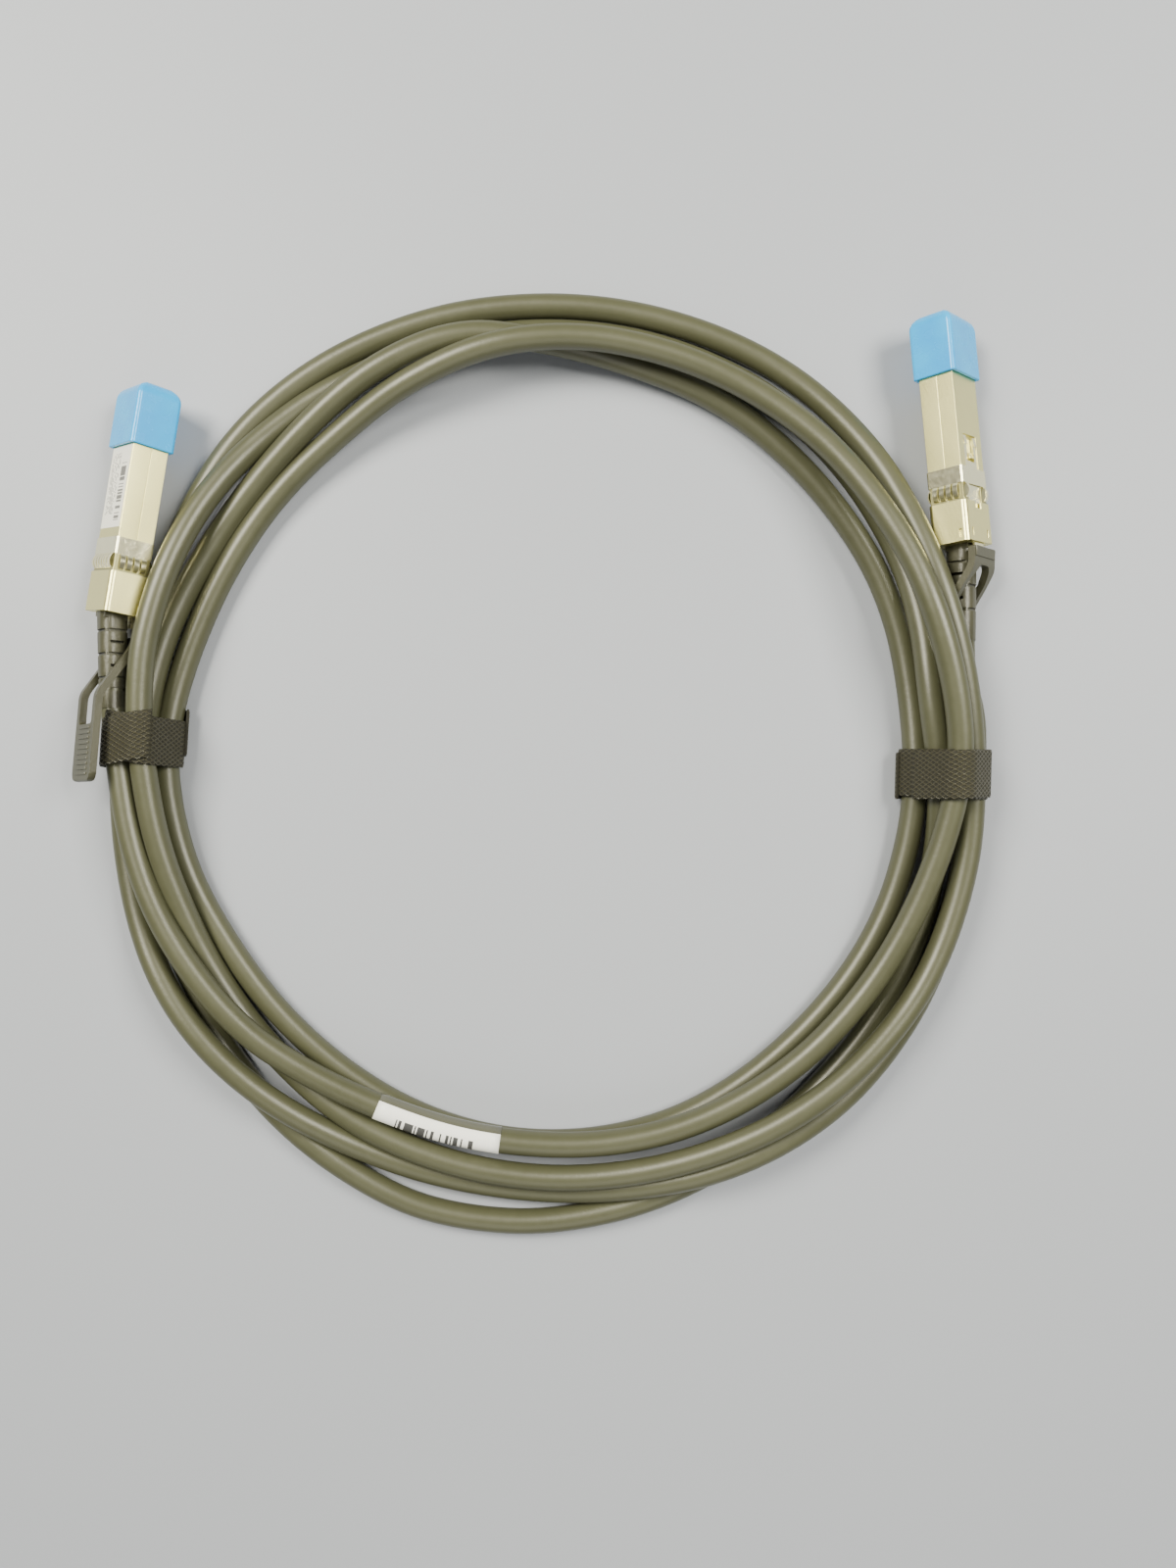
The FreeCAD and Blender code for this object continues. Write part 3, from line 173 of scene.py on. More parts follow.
bpy.ops.object.select_all(action="DESELECT")
bpy.ops.mesh.primitive_plane_add(size=TABLE_SIDE, location=TABLE_MIDDLE)
table = bpy.context.object
table.name = "table_top"
paper = Finish("table_paint", Roughness=0.55)
paper.set("Base Color", paper.noise(3.0).mix((0.32, 0.335, 0.355), (0.36, 0.375, 0.395)))
plain(table, paper.material)

# each square lamp's name, place, size, watts and colour
LAMPS = [("left_window", (-0.45, 0.30, 0.75), 0.40, 16.5, (1.0, 0.97, 0.88)),
         ("right_window", (0.50, 0.15, 0.70), 0.36, 11.0, (1.0, 0.98, 0.91)),
         ("front_fill", (0.0, -0.70, 0.60), 0.60, 2.0, (1.0, 1.0, 1.0))]
for name, place, size, watts, colour in LAMPS:
    light = bpy.data.lights.new(name, "AREA")
    light.size, light.energy, light.color = size, watts, colour
    lamp = bpy.data.objects.new(name, light)
    lamp.location = place
    lamp.rotation_euler = (TABLE_MIDDLE - Vector(place)).to_track_quat("-Z", "Y").to_euler()
    bpy.context.collection.objects.link(lamp)

world = bpy.data.worlds.new("room")
world.use_nodes = True
room = world.node_tree.nodes["Background"].inputs
room["Color"].default_value = (0.92, 0.92, 0.90, 1)
room["Strength"].default_value = 0.22
bpy.context.scene.world = world

# ---------------------------------------------------------------- the cable
# One round cable about 3 m long, twin pairs under a smooth black jacket 6.2 mm thick. It is wound
# by hand into four and a half loose turns, which cross where each winding fell, and it goes from
# the left plug's boot into the right one's.

CABLE_THICK = 0.0062

# Each point is the angle walked round the ring in degrees, the distance from the ring's centre
# and the height above the table, in metres.
WOUND = [
    # out of the left boot, over the others along the front, then high over the right side
    (178, 0.1050, 0.0109), (192, 0.1034, 0.0110), (205, 0.1015, 0.0122), (220, 0.0991, 0.0120),
    (232, 0.0959, 0.0104), (244, 0.0938, 0.0092), (257, 0.0935, 0.0091), (270, 0.0937, 0.0091),
    (281, 0.0946, 0.0092), (292, 0.0955, 0.0092), (304, 0.0959, 0.0090), (316, 0.0962, 0.0090),
    (330, 0.0966, 0.0098), (345, 0.0974, 0.0130), (359, 0.0996, 0.0161), (370, 0.0990, 0.0187),
    (381, 0.0987, 0.0206), (392, 0.1002, 0.0188), (405, 0.1024, 0.0148), (415, 0.1034, 0.0126),
    (425, 0.1042, 0.0112), (435, 0.1043, 0.0118), (446, 0.1042, 0.0130), (458, 0.1026, 0.0139),
    (470, 0.0998, 0.0106), (480, 0.0976, 0.0062), (495, 0.0962, 0.0034), (510, 0.0946, 0.0031),
    (525, 0.0946, 0.0034), (536, 0.0954, 0.0047),
    # the inner lane
    (545, 0.0952, 0.0043), (557, 0.0944, 0.0032), (570, 0.0922, 0.0031), (583, 0.0921, 0.0031),
    (596, 0.0926, 0.0031), (609, 0.0939, 0.0031), (622, 0.0949, 0.0031), (635, 0.0952, 0.0031),
    (648, 0.0950, 0.0031), (660, 0.0938, 0.0031), (672, 0.0926, 0.0031), (684, 0.0925, 0.0031),
    (696, 0.0926, 0.0033), (708, 0.0921, 0.0039), (718.5, 0.0918, 0.0047), (731, 0.0923, 0.0033),
    (743, 0.0945, 0.0031), (755, 0.0962, 0.0031), (770, 0.0982, 0.0031), (785, 0.1012, 0.0031),
    (800, 0.1026, 0.0044), (812, 0.1050, 0.0081), (822, 0.1083, 0.0099), (834, 0.1062, 0.0098),
    (846, 0.1026, 0.0074), (860, 0.1009, 0.0042), (873, 0.1002, 0.0046), (884, 0.1004, 0.0064),
    (896, 0.1003, 0.0076),
    # wide to the right under the others along the front, then back in
    (910, 0.1016, 0.0060), (925, 0.1038, 0.0033), (940, 0.1081, 0.0031), (955, 0.1122, 0.0031),
    (970, 0.1154, 0.0031), (980, 0.1155, 0.0031), (991, 0.1147, 0.0031), (1005, 0.1122, 0.0031),
    (1020, 0.1083, 0.0031), (1035, 0.1049, 0.0031), (1046, 0.1030, 0.0031), (1057, 0.1014, 0.0034),
    (1068, 0.0985, 0.0072), (1078, 0.0963, 0.0101), (1090, 0.0944, 0.0124), (1101, 0.0982, 0.0096),
    (1112, 0.1024, 0.0050), (1126, 0.1058, 0.0032), (1140, 0.1080, 0.0031), (1155, 0.1089, 0.0031),
    (1170, 0.1090, 0.0031), (1185, 0.1090, 0.0031), (1200, 0.1088, 0.0034), (1212, 0.1080, 0.0054),
    (1222, 0.1063, 0.0100), (1232, 0.1036, 0.0142), (1242, 0.1016, 0.0150), (1250, 0.0998, 0.0144),
    (1258, 0.0983, 0.0136),
    # on top at the left strap, down inside, and wide round the back
    (1270, 0.0970, 0.0120), (1280, 0.0966, 0.0096), (1292, 0.0978, 0.0058), (1305, 0.0996, 0.0036),
    (1320, 0.1013, 0.0060), (1335, 0.1015, 0.0078), (1348, 0.1020, 0.0086), (1360, 0.1024, 0.0100),
    (1372, 0.1030, 0.0122), (1384, 0.1042, 0.0142), (1396, 0.1058, 0.0132), (1410, 0.1076, 0.0098),
    (1425, 0.1061, 0.0096), (1437, 0.1042, 0.0108), (1450, 0.1032, 0.0139), (1462, 0.1036, 0.0158),
    (1473, 0.1065, 0.0130), (1484, 0.1114, 0.0074), (1497, 0.1148, 0.0035), (1510, 0.1153, 0.0031),
    (1524, 0.1154, 0.0031), (1538, 0.1154, 0.0031), (1550, 0.1152, 0.0031), (1562, 0.1148, 0.0031),
    (1574, 0.1132, 0.0031), (1586, 0.1094, 0.0031), (1598, 0.1067, 0.0031), (1608, 0.1060, 0.0037),
    (1617, 0.1060, 0.0047),
    # low on the outside, under the right strap and up into the right boot
    (1628, 0.1072, 0.0040), (1640, 0.1088, 0.0052), (1650, 0.1092, 0.0087), (1660, 0.1086, 0.0102),
    (1671, 0.1074, 0.0090), (1683, 0.1067, 0.0044), (1695, 0.1065, 0.0031), (1709, 0.1067, 0.0034),
    (1722, 0.1072, 0.0068), (1734, 0.1085, 0.0101), (1746, 0.1097, 0.0098), (1757, 0.1104, 0.0066),
    (1770, 0.1099, 0.0033), (1786, 0.1074, 0.0039), (1800, 0.1058, 0.0048),
    (1806.5, 0.1056, 0.0074),
]
# inside the boots' tails, where the cable goes in
LEFT_TAIL = [Vector((-0.1045, -0.0300, 0.0093)), Vector((-0.1041, -0.0390, 0.0094))]
RIGHT_TAIL = [Vector((0.1055, -0.0300, 0.0080)), Vector((0.1053, -0.0210, 0.0082)),
              Vector((0.1052, -0.0150, 0.0083))]
# the points stand a little outside the line that they pull the cable to
PULL = 1.0075


def ring_point(angle, radius, height):
    """A point of the route, from its row above."""
    turn, reach = math.radians(angle), radius * PULL
    return Vector((RING_X + reach * math.cos(turn), RING_Y + reach * math.sin(turn), height))


def nurbs_line(name, points, reach=0.0):
    """A smooth curve object pulled along its points, as a tube where it has a reach."""
    curve = bpy.data.curves.new(name, "CURVE")
    curve.dimensions = "3D"
    spline = curve.splines.new("NURBS")
    spline.points.add(len(points) - 1)
    for spot, point in zip(spline.points, points):
        spot.co = (*point, 1.0)
        spot.radius = reach
    spline.order_u = 3
    spline.use_endpoint_u = True
    spline.resolution_u = 8
    curve.bevel_depth = 1.0 if reach else 0.0
    curve.bevel_resolution = 9
    made = bpy.data.objects.new(name, curve)
    bpy.context.collection.objects.link(made)
    return made


route = LEFT_TAIL + [ring_point(*spot) for spot in WOUND] + RIGHT_TAIL
cable = nurbs_line("cable", route, CABLE_THICK / 2)
cable.data.use_fill_caps = True
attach(cable, "assembly")
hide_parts("coil", "right_lead")

jacket = Finish("cable_jacket", Specular_IOR_Level=0.6, Specular_Tint=(1.0, 0.98, 0.88))
rub = jacket.noise(420.0, 2.0)
grime = jacket.noise(38.0, 4.0)
jacket.set("Base Color", (grime * 0.7 + rub * 0.3).mix((0.050, 0.051, 0.024),
                                                       (0.080, 0.081, 0.043)))
jacket.set("Roughness", (grime * 0.6 + rub * 0.4).between(0.33, 0.45))
jacket.bump(rub * 0.6 + jacket.noise(1500.0, 2.0) * 0.4, 0.22, 0.0002)
plain(cable, jacket.material)

# ---------------------------------------------------------------- the sprung steel
# The collar of bowed fingers, the latch slide and its return spring are stamped or coiled from
# bright spring steel, with the faint draw lines of the strip.

SIDES = ("left", "right")

sprung = Finish("sprung_steel", Metallic=1.0)
drawn = sprung.noise(900.0, 2.0)
sprung.set("Base Color", drawn.mix((0.86, 0.81, 0.50), (1.0, 0.96, 0.66)))
sprung.set("Roughness", drawn.between(0.16, 0.30))
sprung.bump(sprung.noise(3000.0, 1.0), 0.12, 0.00006)

for side in SIDES:
    for name in ("emi_collar", "latch_slide", "return_spring"):
        plain(nodes["%s_%s" % (side, name)], sprung.material)

# ---------------------------------------------------------------- what is inside the plugs
# A green paddle card with gold contacts, two twin pairs of blue insulated conductors soldered to
# its rear edge, and the ferrule that is crimped over the cable's braid.

card = Finish("card_mask", Roughness=0.35)
card.set("Base Color", card.noise(500.0, 2.0).mix((0.010, 0.075, 0.030), (0.020, 0.120, 0.050)))
gold = Finish("contact_gold", Metallic=1.0, Roughness=0.22)
gold.set("Base Color", gold.noise(900.0, 1.0).mix((0.78, 0.52, 0.16), (0.92, 0.68, 0.27)))
crimp = Finish("crimp_brass", Metallic=1.0)
crimp.set("Base Color", crimp.noise(400.0, 2.0).mix((0.60, 0.50, 0.30), (0.76, 0.66, 0.42)))
crimp.set("Roughness", crimp.noise(700.0, 2.0).between(0.30, 0.50))
pair = Finish("pair_insulation", Roughness=0.4)
pair.set("Base Color", pair.noise(300.0, 2.0).mix((0.05, 0.14, 0.42), (0.09, 0.20, 0.52)))
for side in SIDES:
    for name, finish in (("paddle_card", card), ("card_contacts", gold), ("ferrule", crimp),
                         ("twinax_wires", pair)):
        plain(nodes["%s_%s" % (side, name)], finish.material)

# ---------------------------------------------------------------- the plugs' housings
# Two die-cast halves and a stamped back shell, plated in pale champagne nickel with a fine grain.
# Each plug lies on one long edge, rolled over by its cable. Its own frame has X across, Y out of
# its nose from the back shell's front face, and Z towards the label face.

PLUG_REAR = {"left": Vector((RING_X - 0.1072, RING_Y + 0.0370, 0.00895)),
             "right": Vector((RING_X + 0.1026, RING_Y + 0.0539, 0.00895))}
PLUG_ROLL = {"left": -48.0, "right": -131.5}
PLUG_YAW = {"left": -9.4, "right": 5.5}
SHELL_LENGTH = 0.0098
HOUSING_EASE, SHELL_EASE = 0.00013, 0.00014
# how near two points are one, and the turns in degrees between two faces past which they aren't
# flat, have an edge to ease, and meet in a crease
SAME_POINT, FLAT_TURN, EDGE_TURN, CREASE_TURN = 2e-6, 2.0, 28.0, 40
# the rear and front of the band that the collar's fingers shade, in millimetres along the plug
SHADED_REAR, SHADED_FRONT = 0.15, 4.1
ACROSS, ALONG = 0, 1


def plug_place(side):
    """The matrix that carries a piece from the plug's own frame to the table."""
    turn = (Matrix.Rotation(math.radians(PLUG_YAW[side]), 4, "Z")
            @ Matrix.Rotation(math.radians(PLUG_ROLL[side]), 4, "Y"))
    return Matrix.Translation(PLUG_REAR[side]) @ turn @ Matrix.Translation((0, SHELL_LENGTH, 0))


def plug_axis(finish, side, axis):
    """A point's distance along one axis of a plug's own frame, in millimetres."""
    x, y, z = finish.axes(finish.place())
    a, b, c, d = plug_place(side).inverted()[axis]
    return (x * a + y * b + z * c + d) * 1000


def within(value, low, high):
    """1 where a socket lies between two numbers."""
    return (value > low) * (value < high)


def select_only(piece):
    """Leaves one piece selected and active."""
    bpy.ops.object.select_all(action="DESELECT")
    piece.select_set(True)
    bpy.context.view_layer.objects.active = piece


def apply_step(piece, kind, **settings):
    """Adds a modifier to the active piece and applies it."""
    step = piece.modifiers.new("step", kind)
    for setting, value in settings.items():
        setattr(step, setting, value)
    bpy.ops.object.modifier_apply(modifier="step")


def eased_copy(node, name, edge, segments=2):
    """A copy of a pressed or moulded solid with its edges eased, as the real tool leaves them."""
    piece = nodes[node].copy()
    piece.data = nodes[node].data.copy()
    piece.name = name
    piece.parent = None
    piece.matrix_world = Matrix.Identity(4)
    bpy.context.collection.objects.link(piece)
    work = bmesh.new()
    work.from_mesh(piece.data)
    bmesh.ops.remove_doubles(work, verts=work.verts, dist=SAME_POINT)
    bmesh.ops.dissolve_limit(work, angle_limit=math.radians(FLAT_TURN), verts=work.verts,
                             edges=work.edges)
    work.to_mesh(piece.data)
    work.free()
    select_only(piece)
    apply_step(piece, "BEVEL", limit_method="ANGLE", angle_limit=math.radians(EDGE_TURN),
               width=edge, segments=segments)
    bpy.ops.object.shade_smooth_by_angle(angle=math.radians(CREASE_TURN))
    apply_step(piece, "WEIGHTED_NORMAL", keep_sharp=True, weight=100)
    return piece


for side in SIDES:
    nickel = Finish(side + "_nickel_plate", Metallic=1.0)
    cloud = nickel.noise(60.0, 4.0)
    grain = nickel.noise(2600.0, 2.0)
    shaded = within(plug_axis(nickel, side, ALONG), SHADED_REAR, SHADED_FRONT) * 0.6
    bright = (cloud * 0.6 + grain * 0.4).mix((0.82, 0.75, 0.31), (0.96, 0.90, 0.43))
    nickel.set("Base Color", shaded.mix(bright, (0.12, 0.115, 0.07)))
    nickel.set("Roughness", (cloud * 0.4 + grain * 0.6).between(0.26, 0.42))
    nickel.bump(grain, 0.20, 0.00008)
    for name, edge in (("shell_base", HOUSING_EASE), ("shell_cover", HOUSING_EASE),
                       ("back_shell", SHELL_EASE)):
        node = "%s_%s" % (side, name)
        piece = eased_copy(node, node + "_plated", edge)
        plain(piece, nickel.material)
        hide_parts(node)
        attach(piece, "assembly")

# ---------------------------------------------------------------- the return springs
# A fine coil spring stands behind each latch slide in the rear of its channel. In the plug its
# rear end is fixed, and the slide shortens it by its own travel when the tab is pulled. Here that
# end and that shortening are worked out but not used.

LATCH_TRAVEL, WIRE_EASE = 0.0024, 0.00001
for side in SIDES:
    node = side + "_return_spring"
    coil_spring = eased_copy(node, node + "_wound", WIRE_EASE, segments=1)
    low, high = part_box(node)
    backward = plug_place(side).to_3x3() @ Vector((0, -1, 0))
    middle = (Vector(low) + Vector(high)) / 2
    long = high[1] - low[1]
    plain(coil_spring, sprung.material)
    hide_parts(node)
    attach(coil_spring, "assembly")
    tuple(middle + backward * long / 2)
    1 - LATCH_TRAVEL / long
    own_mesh(coil_spring)

# ---------------------------------------------------------------- the dust caps
# A soft translucent blue cap is pushed over each nose until the plug is used. It is moulded in
# polyethylene in one shot, and the metal inside shows through its walls.

CAP_WIDE, CAP_LONG, CAP_HIGH, CAP_TIP = 0.0155, 0.0155, 0.0108, 0.0466
CAP_DOME, CAP_EDGE, CAP_WALL, CAP_LIP = 0.0034, 0.0009, 0.0009, 0.0002
CAP_REAR = CAP_TIP - CAP_LONG
# the turns in degrees between two faces past which an edge is rounded, a lip is eased, and a crease
# shades sharp
ROUND_TURN, LIP_TURN, CAP_CREASE = 32, 62, 50
# how near a plane a point is taken to lie on it
ON_PLANE = 1e-6

# The cap is given a faint blue glow of its own. This is painted light that stands in for the light
# passing through its thin walls. The same cloudy noise tints both the plastic and the glow.
blue = Finish("cap_polyethylene", IOR=1.5, Transmission_Weight=0.12, Specular_IOR_Level=0.4,
              Emission_Strength=0.15, Coat_Roughness=0.12)
milky_and_glow = blue.noise(140.0, 3.0)
blue.set("Base Color", milky_and_glow.mix((0.0, 0.29, 0.70), (0.0, 0.46, 0.86)))
# the colour of the painted glow
blue.set("Emission Color", milky_and_glow.mix((0.0, 0.40, 0.95), (0.0, 0.60, 1.0)))
blue.set("Roughness", blue.noise(500.0, 2.0).between(0.20, 0.32))
blue.set("Coat Weight", milky_and_glow.between(0.15, 0.30))


def pick(piece, kind, wanted):
    """Leaves selected, in edit mode, only the edges or faces that a test on their points picks."""
    bpy.ops.object.mode_set(mode="EDIT")
    bpy.ops.mesh.select_mode(type=kind)
    bpy.ops.mesh.select_all(action="DESELECT")
    bpy.ops.object.mode_set(mode="OBJECT")
    for part in piece.data.edges if kind == "EDGE" else piece.data.polygons:
        part.select = all(wanted(piece.data.vertices[v].co) for v in part.vertices)
    bpy.ops.object.mode_set(mode="EDIT")


def moulded_cap(name):
    """A thin blunt cap, open at its rear, with a round rim at its tip, in the plug's own frame."""
    bpy.ops.object.select_all(action="DESELECT")
    bpy.ops.mesh.primitive_cube_add(size=1.0, location=(0, 0, 0))
    cap = bpy.context.object
    cap.name = name
    cap.data.transform(Matrix.Translation((0, CAP_TIP - CAP_LONG / 2, 0))
                       @ Matrix.Diagonal((CAP_WIDE, CAP_LONG, CAP_HIGH, 1)))
    pick(cap, "EDGE", lambda point: point.y > CAP_TIP - ON_PLANE)
    bpy.ops.mesh.bevel(offset=CAP_DOME, segments=6, affect="EDGES")
    pick(cap, "FACE", lambda point: point.y < CAP_REAR + ON_PLANE)
    bpy.ops.mesh.delete(type="ONLY_FACE")
    bpy.ops.object.mode_set(mode="OBJECT")
    apply_step(cap, "BEVEL", width=CAP_EDGE, segments=3, angle_limit=math.radians(ROUND_TURN))
    apply_step(cap, "SOLIDIFY", thickness=CAP_WALL, offset=-1, use_even_offset=True)
    apply_step(cap, "BEVEL", width=CAP_LIP, segments=2, angle_limit=math.radians(LIP_TURN))
    bpy.ops.object.shade_smooth_by_angle(angle=math.radians(CAP_CREASE))
    apply_step(cap, "WEIGHTED_NORMAL", keep_sharp=True)
    return cap


for side in SIDES:
    cap = moulded_cap(side + "_cap_moulded")
    cap.data.transform(plug_place(side))
    plain(cap, blue.material)
    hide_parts(side + "_dust_cap")
    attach(cap, side + "_cap")

# ---------------------------------------------------------------- the boots and pull tabs
# Both are moulded in a black thermoplastic elastomer with a faintly oily olive sheen. The boot is
# slotted so that it bends with the cable, and the tab's grip is ribbed across for the fingers.

BOOT_EASE, TAB_EASE = 0.00022, 0.00030

elastomer = Finish("soft_elastomer", Specular_IOR_Level=0.5, Specular_Tint=(1.0, 0.98, 0.90))
bloom = elastomer.noise(120.0, 3.0)
skin = elastomer.noise(1600.0, 2.0)
elastomer.set("Base Color", (bloom * 0.7 + skin * 0.3).mix((0.036, 0.035, 0.018),
                                                           (0.066, 0.064, 0.036)))
elastomer.set("Roughness", (bloom * 0.5 + skin * 0.5).between(0.30, 0.46))
elastomer.bump(skin, 0.25, 0.00012)
for side in SIDES:
    for name, edge, body in (("boot", BOOT_EASE, "assembly"),
                             ("pull_tab", TAB_EASE, side + "_latch")):
        node = "%s_%s" % (side, name)
        piece = eased_copy(node, node + "_moulded", edge)
        plain(piece, elastomer.material)
        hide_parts(node)
        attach(piece, body)

# ---------------------------------------------------------------- the straps
# Two bands of woven nylon, hooks on one face and loops on the other, are pulled tight round the
# bundle and pressed closed on themselves. Each is 11.7 mm wide, and its free end lies on top.

STRAP_WIDE, STRAP_INNER, STRAP_THICK = 0.0117, 0.00335, 0.00065
# points on a strand's round, and the spacing of points on a straight run and of rows round a band
ROUND_SPOTS, RUN_STEP, ROW_STEP = 9, 0.0006, 0.0005
# squares across a band, where its edge starts to thin as a share of its width from the middle, and
# the share of its thickness that is lost at the edge
BAND_SQUARES, EDGE_FROM, EDGE_THINNED = 18, 0.45, 0.45
# how far round, as a share, a band's slope is read on each side of a row
SLOPE_REACH = 0.002
# the shortest step between two points that a share of it is taken of
TINY = 1e-9
# threads to the centimetre along and across the band, which its own map counts in
CENTIMETRES, WEAVE_ALONG, WEAVE_ACROSS = 100, 5.0, 8.5


def tight_line(corners, reach):
    """The closed line that a band pulled tight round some strands takes, in a ring's section."""
    line = []
    for index, (r, z) in enumerate(corners):
        before, after = corners[index - 1], corners[(index + 1) % len(corners)]
        start = math.atan2(z - before[1], r - before[0]) - math.pi / 2
        end = math.atan2(after[1] - z, after[0] - r) - math.pi / 2
        while end < start:
            end += 2 * math.pi
        for step in range(ROUND_SPOTS):
            turn = start + (end - start) * step / (ROUND_SPOTS - 1)
            line.append(Vector((r + reach * math.cos(turn), z + reach * math.sin(turn))))
        far = Vector((after[0] + reach * math.cos(end), after[1] + reach * math.sin(end)))
        run = far - line[-1]
        parts = max(int(run.length / RUN_STEP), 1)
        for step in range(1, parts):
            line.append(far - run * (1 - step / parts))
    return line


def woven_band(name, angle, corners, inner, start=0.0, stop=1.0, skew=0.0):
    """A band of webbing round the bundle, or part of one, as a closed skin with its own map."""
    line = tight_line(corners, inner + STRAP_THICK / 2)
    lengths = [0.0]
    for here, after in zip(line, line[1:] + line[:1]):
        lengths.append(lengths[-1] + (after - here).length)
    total = lengths[-1]
    span = total * (stop - start)
    count = int(span / ROW_STEP)
    closed = (start, stop) == (0.0, 1.0)
    turn = math.radians(angle)
    outward = Vector((math.cos(turn), math.sin(turn), 0))
    along = Vector((-math.sin(turn), math.cos(turn), 0))
    centre = Vector((RING_X, RING_Y, 0))
    middle = sum(r for r, _ in corners) / len(corners)

    def at(share):
        """The point some share of the way round the line."""
        target = (share % 1.0) * total
        index = next((k for k in range(len(line)) if lengths[k + 1] >= target), len(line) - 1)
        here, after = line[index], line[(index + 1) % len(line)]
        part = (target - lengths[index]) / max(lengths[index + 1] - lengths[index], TINY)
        return here + (after - here) * part

    work = bmesh.new()
    uv = work.loops.layers.uv.new("weave")
    rows = []
    for k in range(count if closed else count + 1):
        share = start + (stop - start) * k / count
        spot = at(share)
        slope = at(share + SLOPE_REACH) - at(share - SLOPE_REACH)
        face = Vector((slope.y, -slope.x)).normalized()
        row = []
        for skin_side in (1, -1):
            for c in range(BAND_SQUARES + 1)[::skin_side]:
                w = c / BAND_SQUARES - 0.5
                edge = max(abs(w) - EDGE_FROM, 0) / (0.5 - EDGE_FROM)
                lift = STRAP_THICK / 2 * (1 - EDGE_THINNED * edge * edge) * skin_side
                place = (centre + outward * (spot.x + face.x * lift)
                         + along * (w * STRAP_WIDE + skew * (spot.x - middle))
                         + Vector((0, 0, spot.y + face.y * lift)))
                row.append((work.verts.new(place), w * STRAP_WIDE * skin_side))
        rows.append((share * total, row))
    for (u, here), (_, after) in zip(rows, rows[1:] + rows[:1] if closed else rows[1:]):
        ahead = u + span / count
        for c, d in zip(range(len(here)), [*range(1, len(here)), 0]):
            quad = (here[c], here[d], after[d], after[c])
            made = work.faces.new([vert for vert, _ in quad])
            made.smooth = True
            for loop, (_, v), far in zip(made.loops, quad, (u, u, ahead, ahead)):
                loop[uv].uv = (far * CENTIMETRES, v * CENTIMETRES)
    if not closed:
        for _, row in (rows[0], rows[-1]):
            work.faces.new([vert for vert, _ in row])
    bmesh.ops.recalc_face_normals(work, faces=work.faces)
    mesh = bpy.data.meshes.new(name)
    work.to_mesh(mesh)
    work.free()
    piece = bpy.data.objects.new(name, mesh)
    bpy.context.collection.objects.link(piece)
    return piece, span


webbing = Finish("nylon_webbing", Specular_IOR_Level=0.6, Specular_Tint=(1.0, 0.97, 0.82))
u, v = webbing.own_map("weave")
warp, weft = u * (2 * math.pi * WEAVE_ALONG), v * (2 * math.pi * WEAVE_ACROSS)
cells = (warp + weft).sin().high((warp - weft).sin()).between(0.5, 1.0) ** 5
weave = cells * 0.8 + webbing.noise(1900.0, 3.0) * 0.2
webbing.set("Base Color", weave.low(1.0).mix((0.002, 0.002, 0.001), (0.075, 0.069, 0.038)))
webbing.set("Roughness", (1 - cells * 0.9).between(0.14, 0.85))
webbing.bump(weave, 1.0, 0.0004)

# Each strap is wound once round and then lapped over itself as far as its free end. A row has its
# angle on the ring, the strands at its corners as distance from the ring's centre and height, the
# share of the way round where the lap ends, and the lap's slant.
LAP_START = 0.03
# the under turn slants the other way, by a share of the lap's slant
UNDER_SLANT = -0.4
STRAPPED = {
    "left": (176.4, [(0.0954, 0.00465), (0.1060, 0.00465), (0.1049, 0.0107), (0.0987, 0.0138)],
             0.81, 0.22),
    "right": (-1.5, [(0.0918, 0.00465), (0.1059, 0.00465), (0.1041, 0.0109), (0.0995, 0.0159)],
              0.95, 0.05),
}
for side, (angle, corners, lap, slant) in STRAPPED.items():
    under, around = woven_band(side + "_strap_band", angle, corners, STRAP_INNER,
                               skew=UNDER_SLANT * slant)
    over, lapped = woven_band(side + "_strap_lap", angle, corners, STRAP_INNER + STRAP_THICK,
                              start=LAP_START, stop=lap, skew=slant)
    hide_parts(side + "_strap")
    for band, length in ((under, around), (over, lapped)):
        plain(band, webbing.material)
        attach(band, "assembly")

# ---------------------------------------------------------------- the plug's label
# White coated paper on the left plug's wide face, with plain bars and blocks printed in black.
# It is stuck on after the housing is plated, and it says nothing.

# where the bars and the lines of blocks lie across and along the plug, in millimetres
CODE_ACROSS, CODE_ALONG = (1.4, 4.6), (12.4, 26.6)
WORDS_ACROSS, WORDS_ALONG = (-4.9, 0.4), (14.0, 29.2)
# bars, lines and blocks to the millimetre
CODE_BARS, WORD_LINES, WORD_BLOCKS = 4.2, 1.1, 3.1
# the shares of the bars, of the space from line to line, and of the blocks that stay blank
CODE_BLANK, LINE_BLANK, WORD_BLANK = 0.45, 0.45, 0.35
# blocks by which each line is shifted against the one before it
LINE_SHIFT = 7.7
# two uneven numbers that scatter a row of whole steps
SCATTER_STEP, SCATTER = 12.9898, 43758.5453

label_print = Finish("module_label_print")
across, along = [plug_axis(label_print, "left", axis) for axis in (ACROSS, ALONG)]


def chance(value):
    """A fixed number from 0 to 1 for each whole step of a socket."""
    return ((value.floor() * SCATTER_STEP).sin() * SCATTER).frac()


code = ((chance(along * CODE_BARS) > CODE_BLANK) * within(across, *CODE_ACROSS)
        * within(along, *CODE_ALONG))
lines = across * WORD_LINES
blocks = chance(along * WORD_BLOCKS + lines.floor() * LINE_SHIFT) > WORD_BLANK
words = ((lines.frac() > LINE_BLANK) * blocks
         * within(across, *WORDS_ACROSS) * within(along, *WORDS_ALONG))
ink = (code + words * 0.8).low(1.0)
white = label_print.noise(260.0, 2.0).mix((0.88, 0.86, 0.72), (0.94, 0.92, 0.80))
label_print.set("Base Color", (ink * 0.85).mix(white, (0.04, 0.04, 0.04)))
label_print.set("Roughness", ink.between(0.38, 0.55))
plain(nodes["left_module_label"], label_print.material)

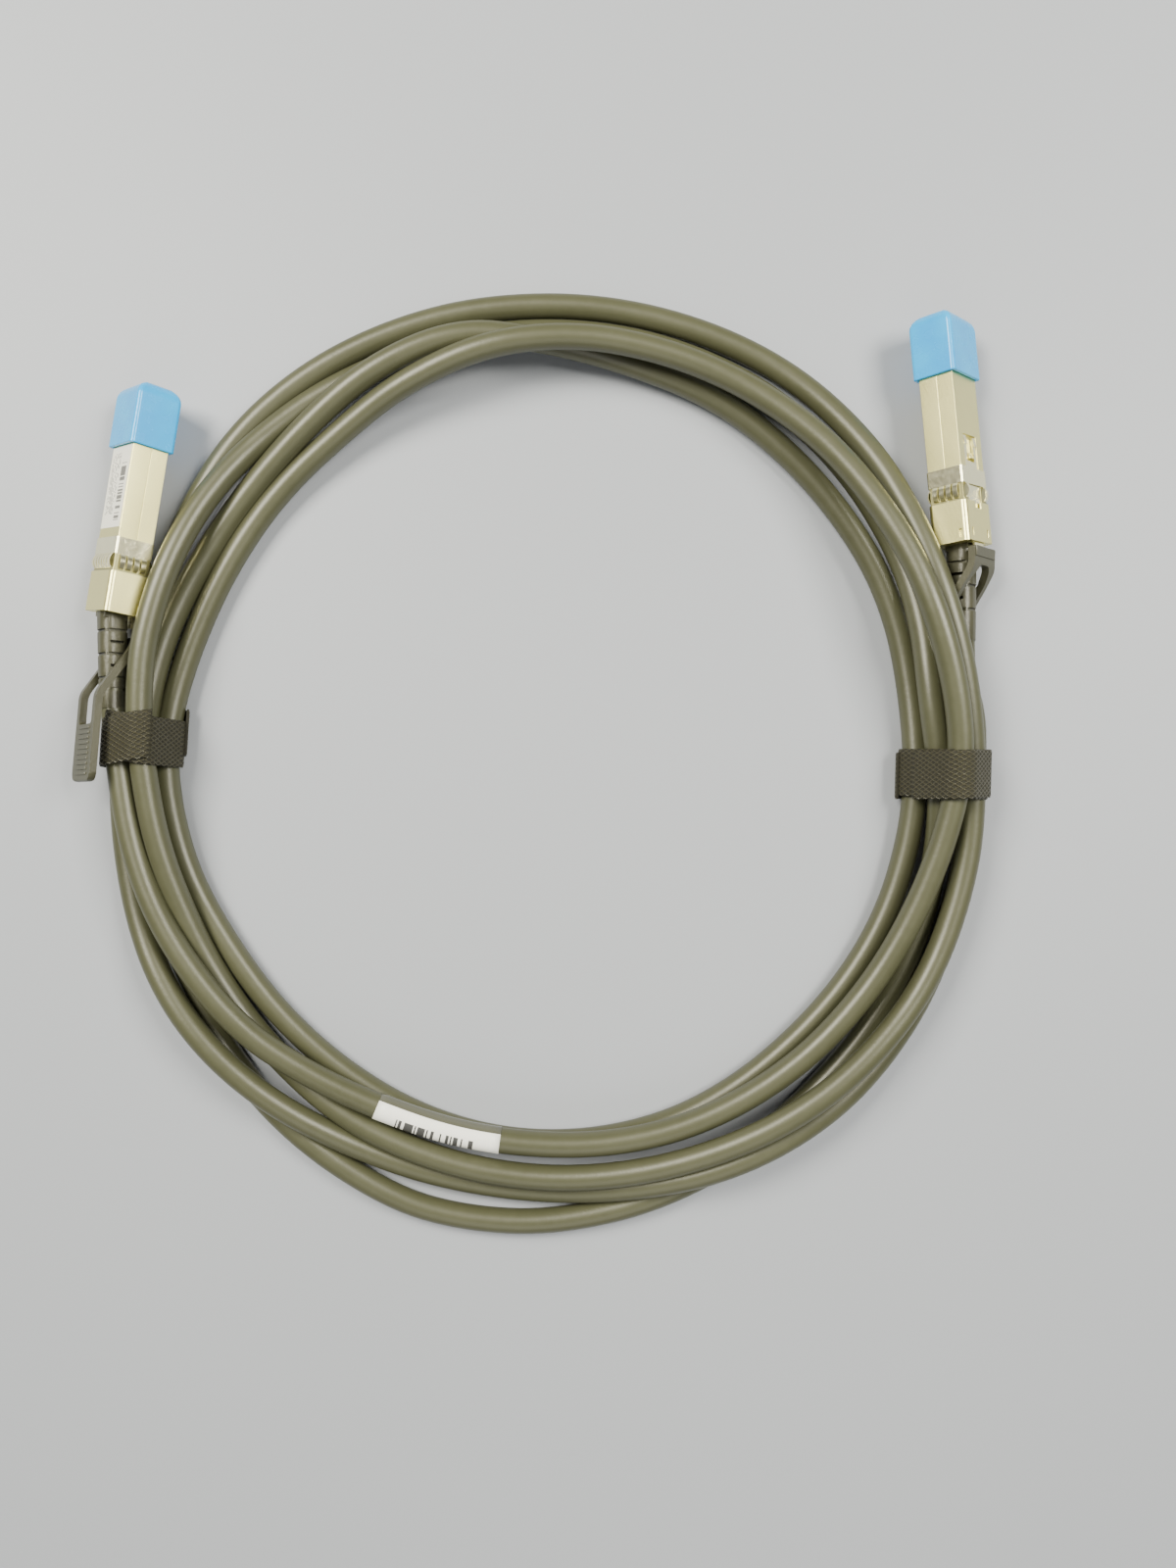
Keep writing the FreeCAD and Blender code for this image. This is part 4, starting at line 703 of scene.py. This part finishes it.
# ---------------------------------------------------------------- the cable's label
# A white paper label is rolled round the top strand near the front, with a row of plain bars on
# its lower half, and its clear film tail is stuck down over the paper's start.

# the angles on the ring where it starts and ends, how far it stands proud, and its flats
WRAP_START, WRAP_END, WRAP_PROUD, WRAP_SIDES = 242.5, 263.5, 0.00016, 40
WRAP_WALL = WRAP_PROUD * 0.8
# where the bars and the film lie, as shares of the label's length and of the way round
BARS_LONG, BARS_ROUND, FILM_ROUND = (0.18, 0.80), (0.02, 0.34), (0.55, 0.885)
# the bars that the label's length has room for, and the share of them that stays blank
BARS_STEPS, BARS_BLANK = 84, 0.44

# the points of the cable's own smooth line that lie under the label
guide = nurbs_line("label_guide", route)
bpy.context.view_layer.update()
line = bpy.data.meshes.new_from_object(guide)
spots = [vert.co.copy() for vert in line.vertices]
bpy.data.objects.remove(guide)
bpy.data.meshes.remove(line)
run = []
for index, spot in enumerate(spots):
    walked = math.degrees(math.atan2(spot.y - RING_Y, spot.x - RING_X)) % 360
    if WRAP_START <= walked <= WRAP_END:
        run.append(index)
    elif run:
        break

work = bmesh.new()
uv = work.loops.layers.uv.new("wrap")
reach = CABLE_THICK / 2 + WRAP_PROUD
turns = [2 * math.pi * k / WRAP_SIDES for k in range(WRAP_SIDES)]
rows, far = [], 0.0
for index in run:
    spot = spots[index]
    ahead = (spots[index + 1] - spots[index - 1]).normalized()
    outward = ahead.cross(Vector((0, 0, 1))).normalized()
    up = outward.cross(ahead)
    rows.append((far, [work.verts.new(spot + reach * (up * math.cos(turn)
                                                      + outward * math.sin(turn)))
                       for turn in turns]))
    far += (spots[index + 1] - spot).length
long = rows[-1][0]
for (start, here), (stop, after) in zip(rows, rows[1:]):
    for k in range(WRAP_SIDES):
        n = (k + 1) % WRAP_SIDES
        face = work.faces.new((here[k], here[n], after[n], after[k]))
        face.smooth = True
        corners = ((start, k), (start, k + 1), (stop, k + 1), (stop, k))
        for loop, (u, v) in zip(face.loops, corners):
            loop[uv].uv = (u / long, v / WRAP_SIDES)
bmesh.ops.recalc_face_normals(work, faces=work.faces)
mesh = bpy.data.meshes.new("cable_label_wrap")
work.to_mesh(mesh)
work.free()
wrap = bpy.data.objects.new("cable_label_wrap", mesh)
bpy.context.collection.objects.link(wrap)
select_only(wrap)
apply_step(wrap, "SOLIDIFY", thickness=WRAP_WALL, offset=-1)

wrap_print = Finish("cable_label_print")
u, v = wrap_print.own_map("wrap")
bars = (chance(u * BARS_STEPS) > BARS_BLANK) * within(u, *BARS_LONG) * within(v, *BARS_ROUND)
film = within(v, *FILM_ROUND)
white = wrap_print.noise(300.0, 2.0).mix((0.90, 0.89, 0.78), (0.97, 0.96, 0.86))
printed = (bars * 0.95).mix(white, (0.015, 0.015, 0.015))
wrap_print.set("Base Color", film.mix(printed, (0.10, 0.10, 0.07)))
wrap_print.set("Roughness", film.between(0.45, 0.12))
plain(wrap, wrap_print.material)
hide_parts("cable_label")
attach(wrap, "assembly")

bpy.context.view_layer.update()
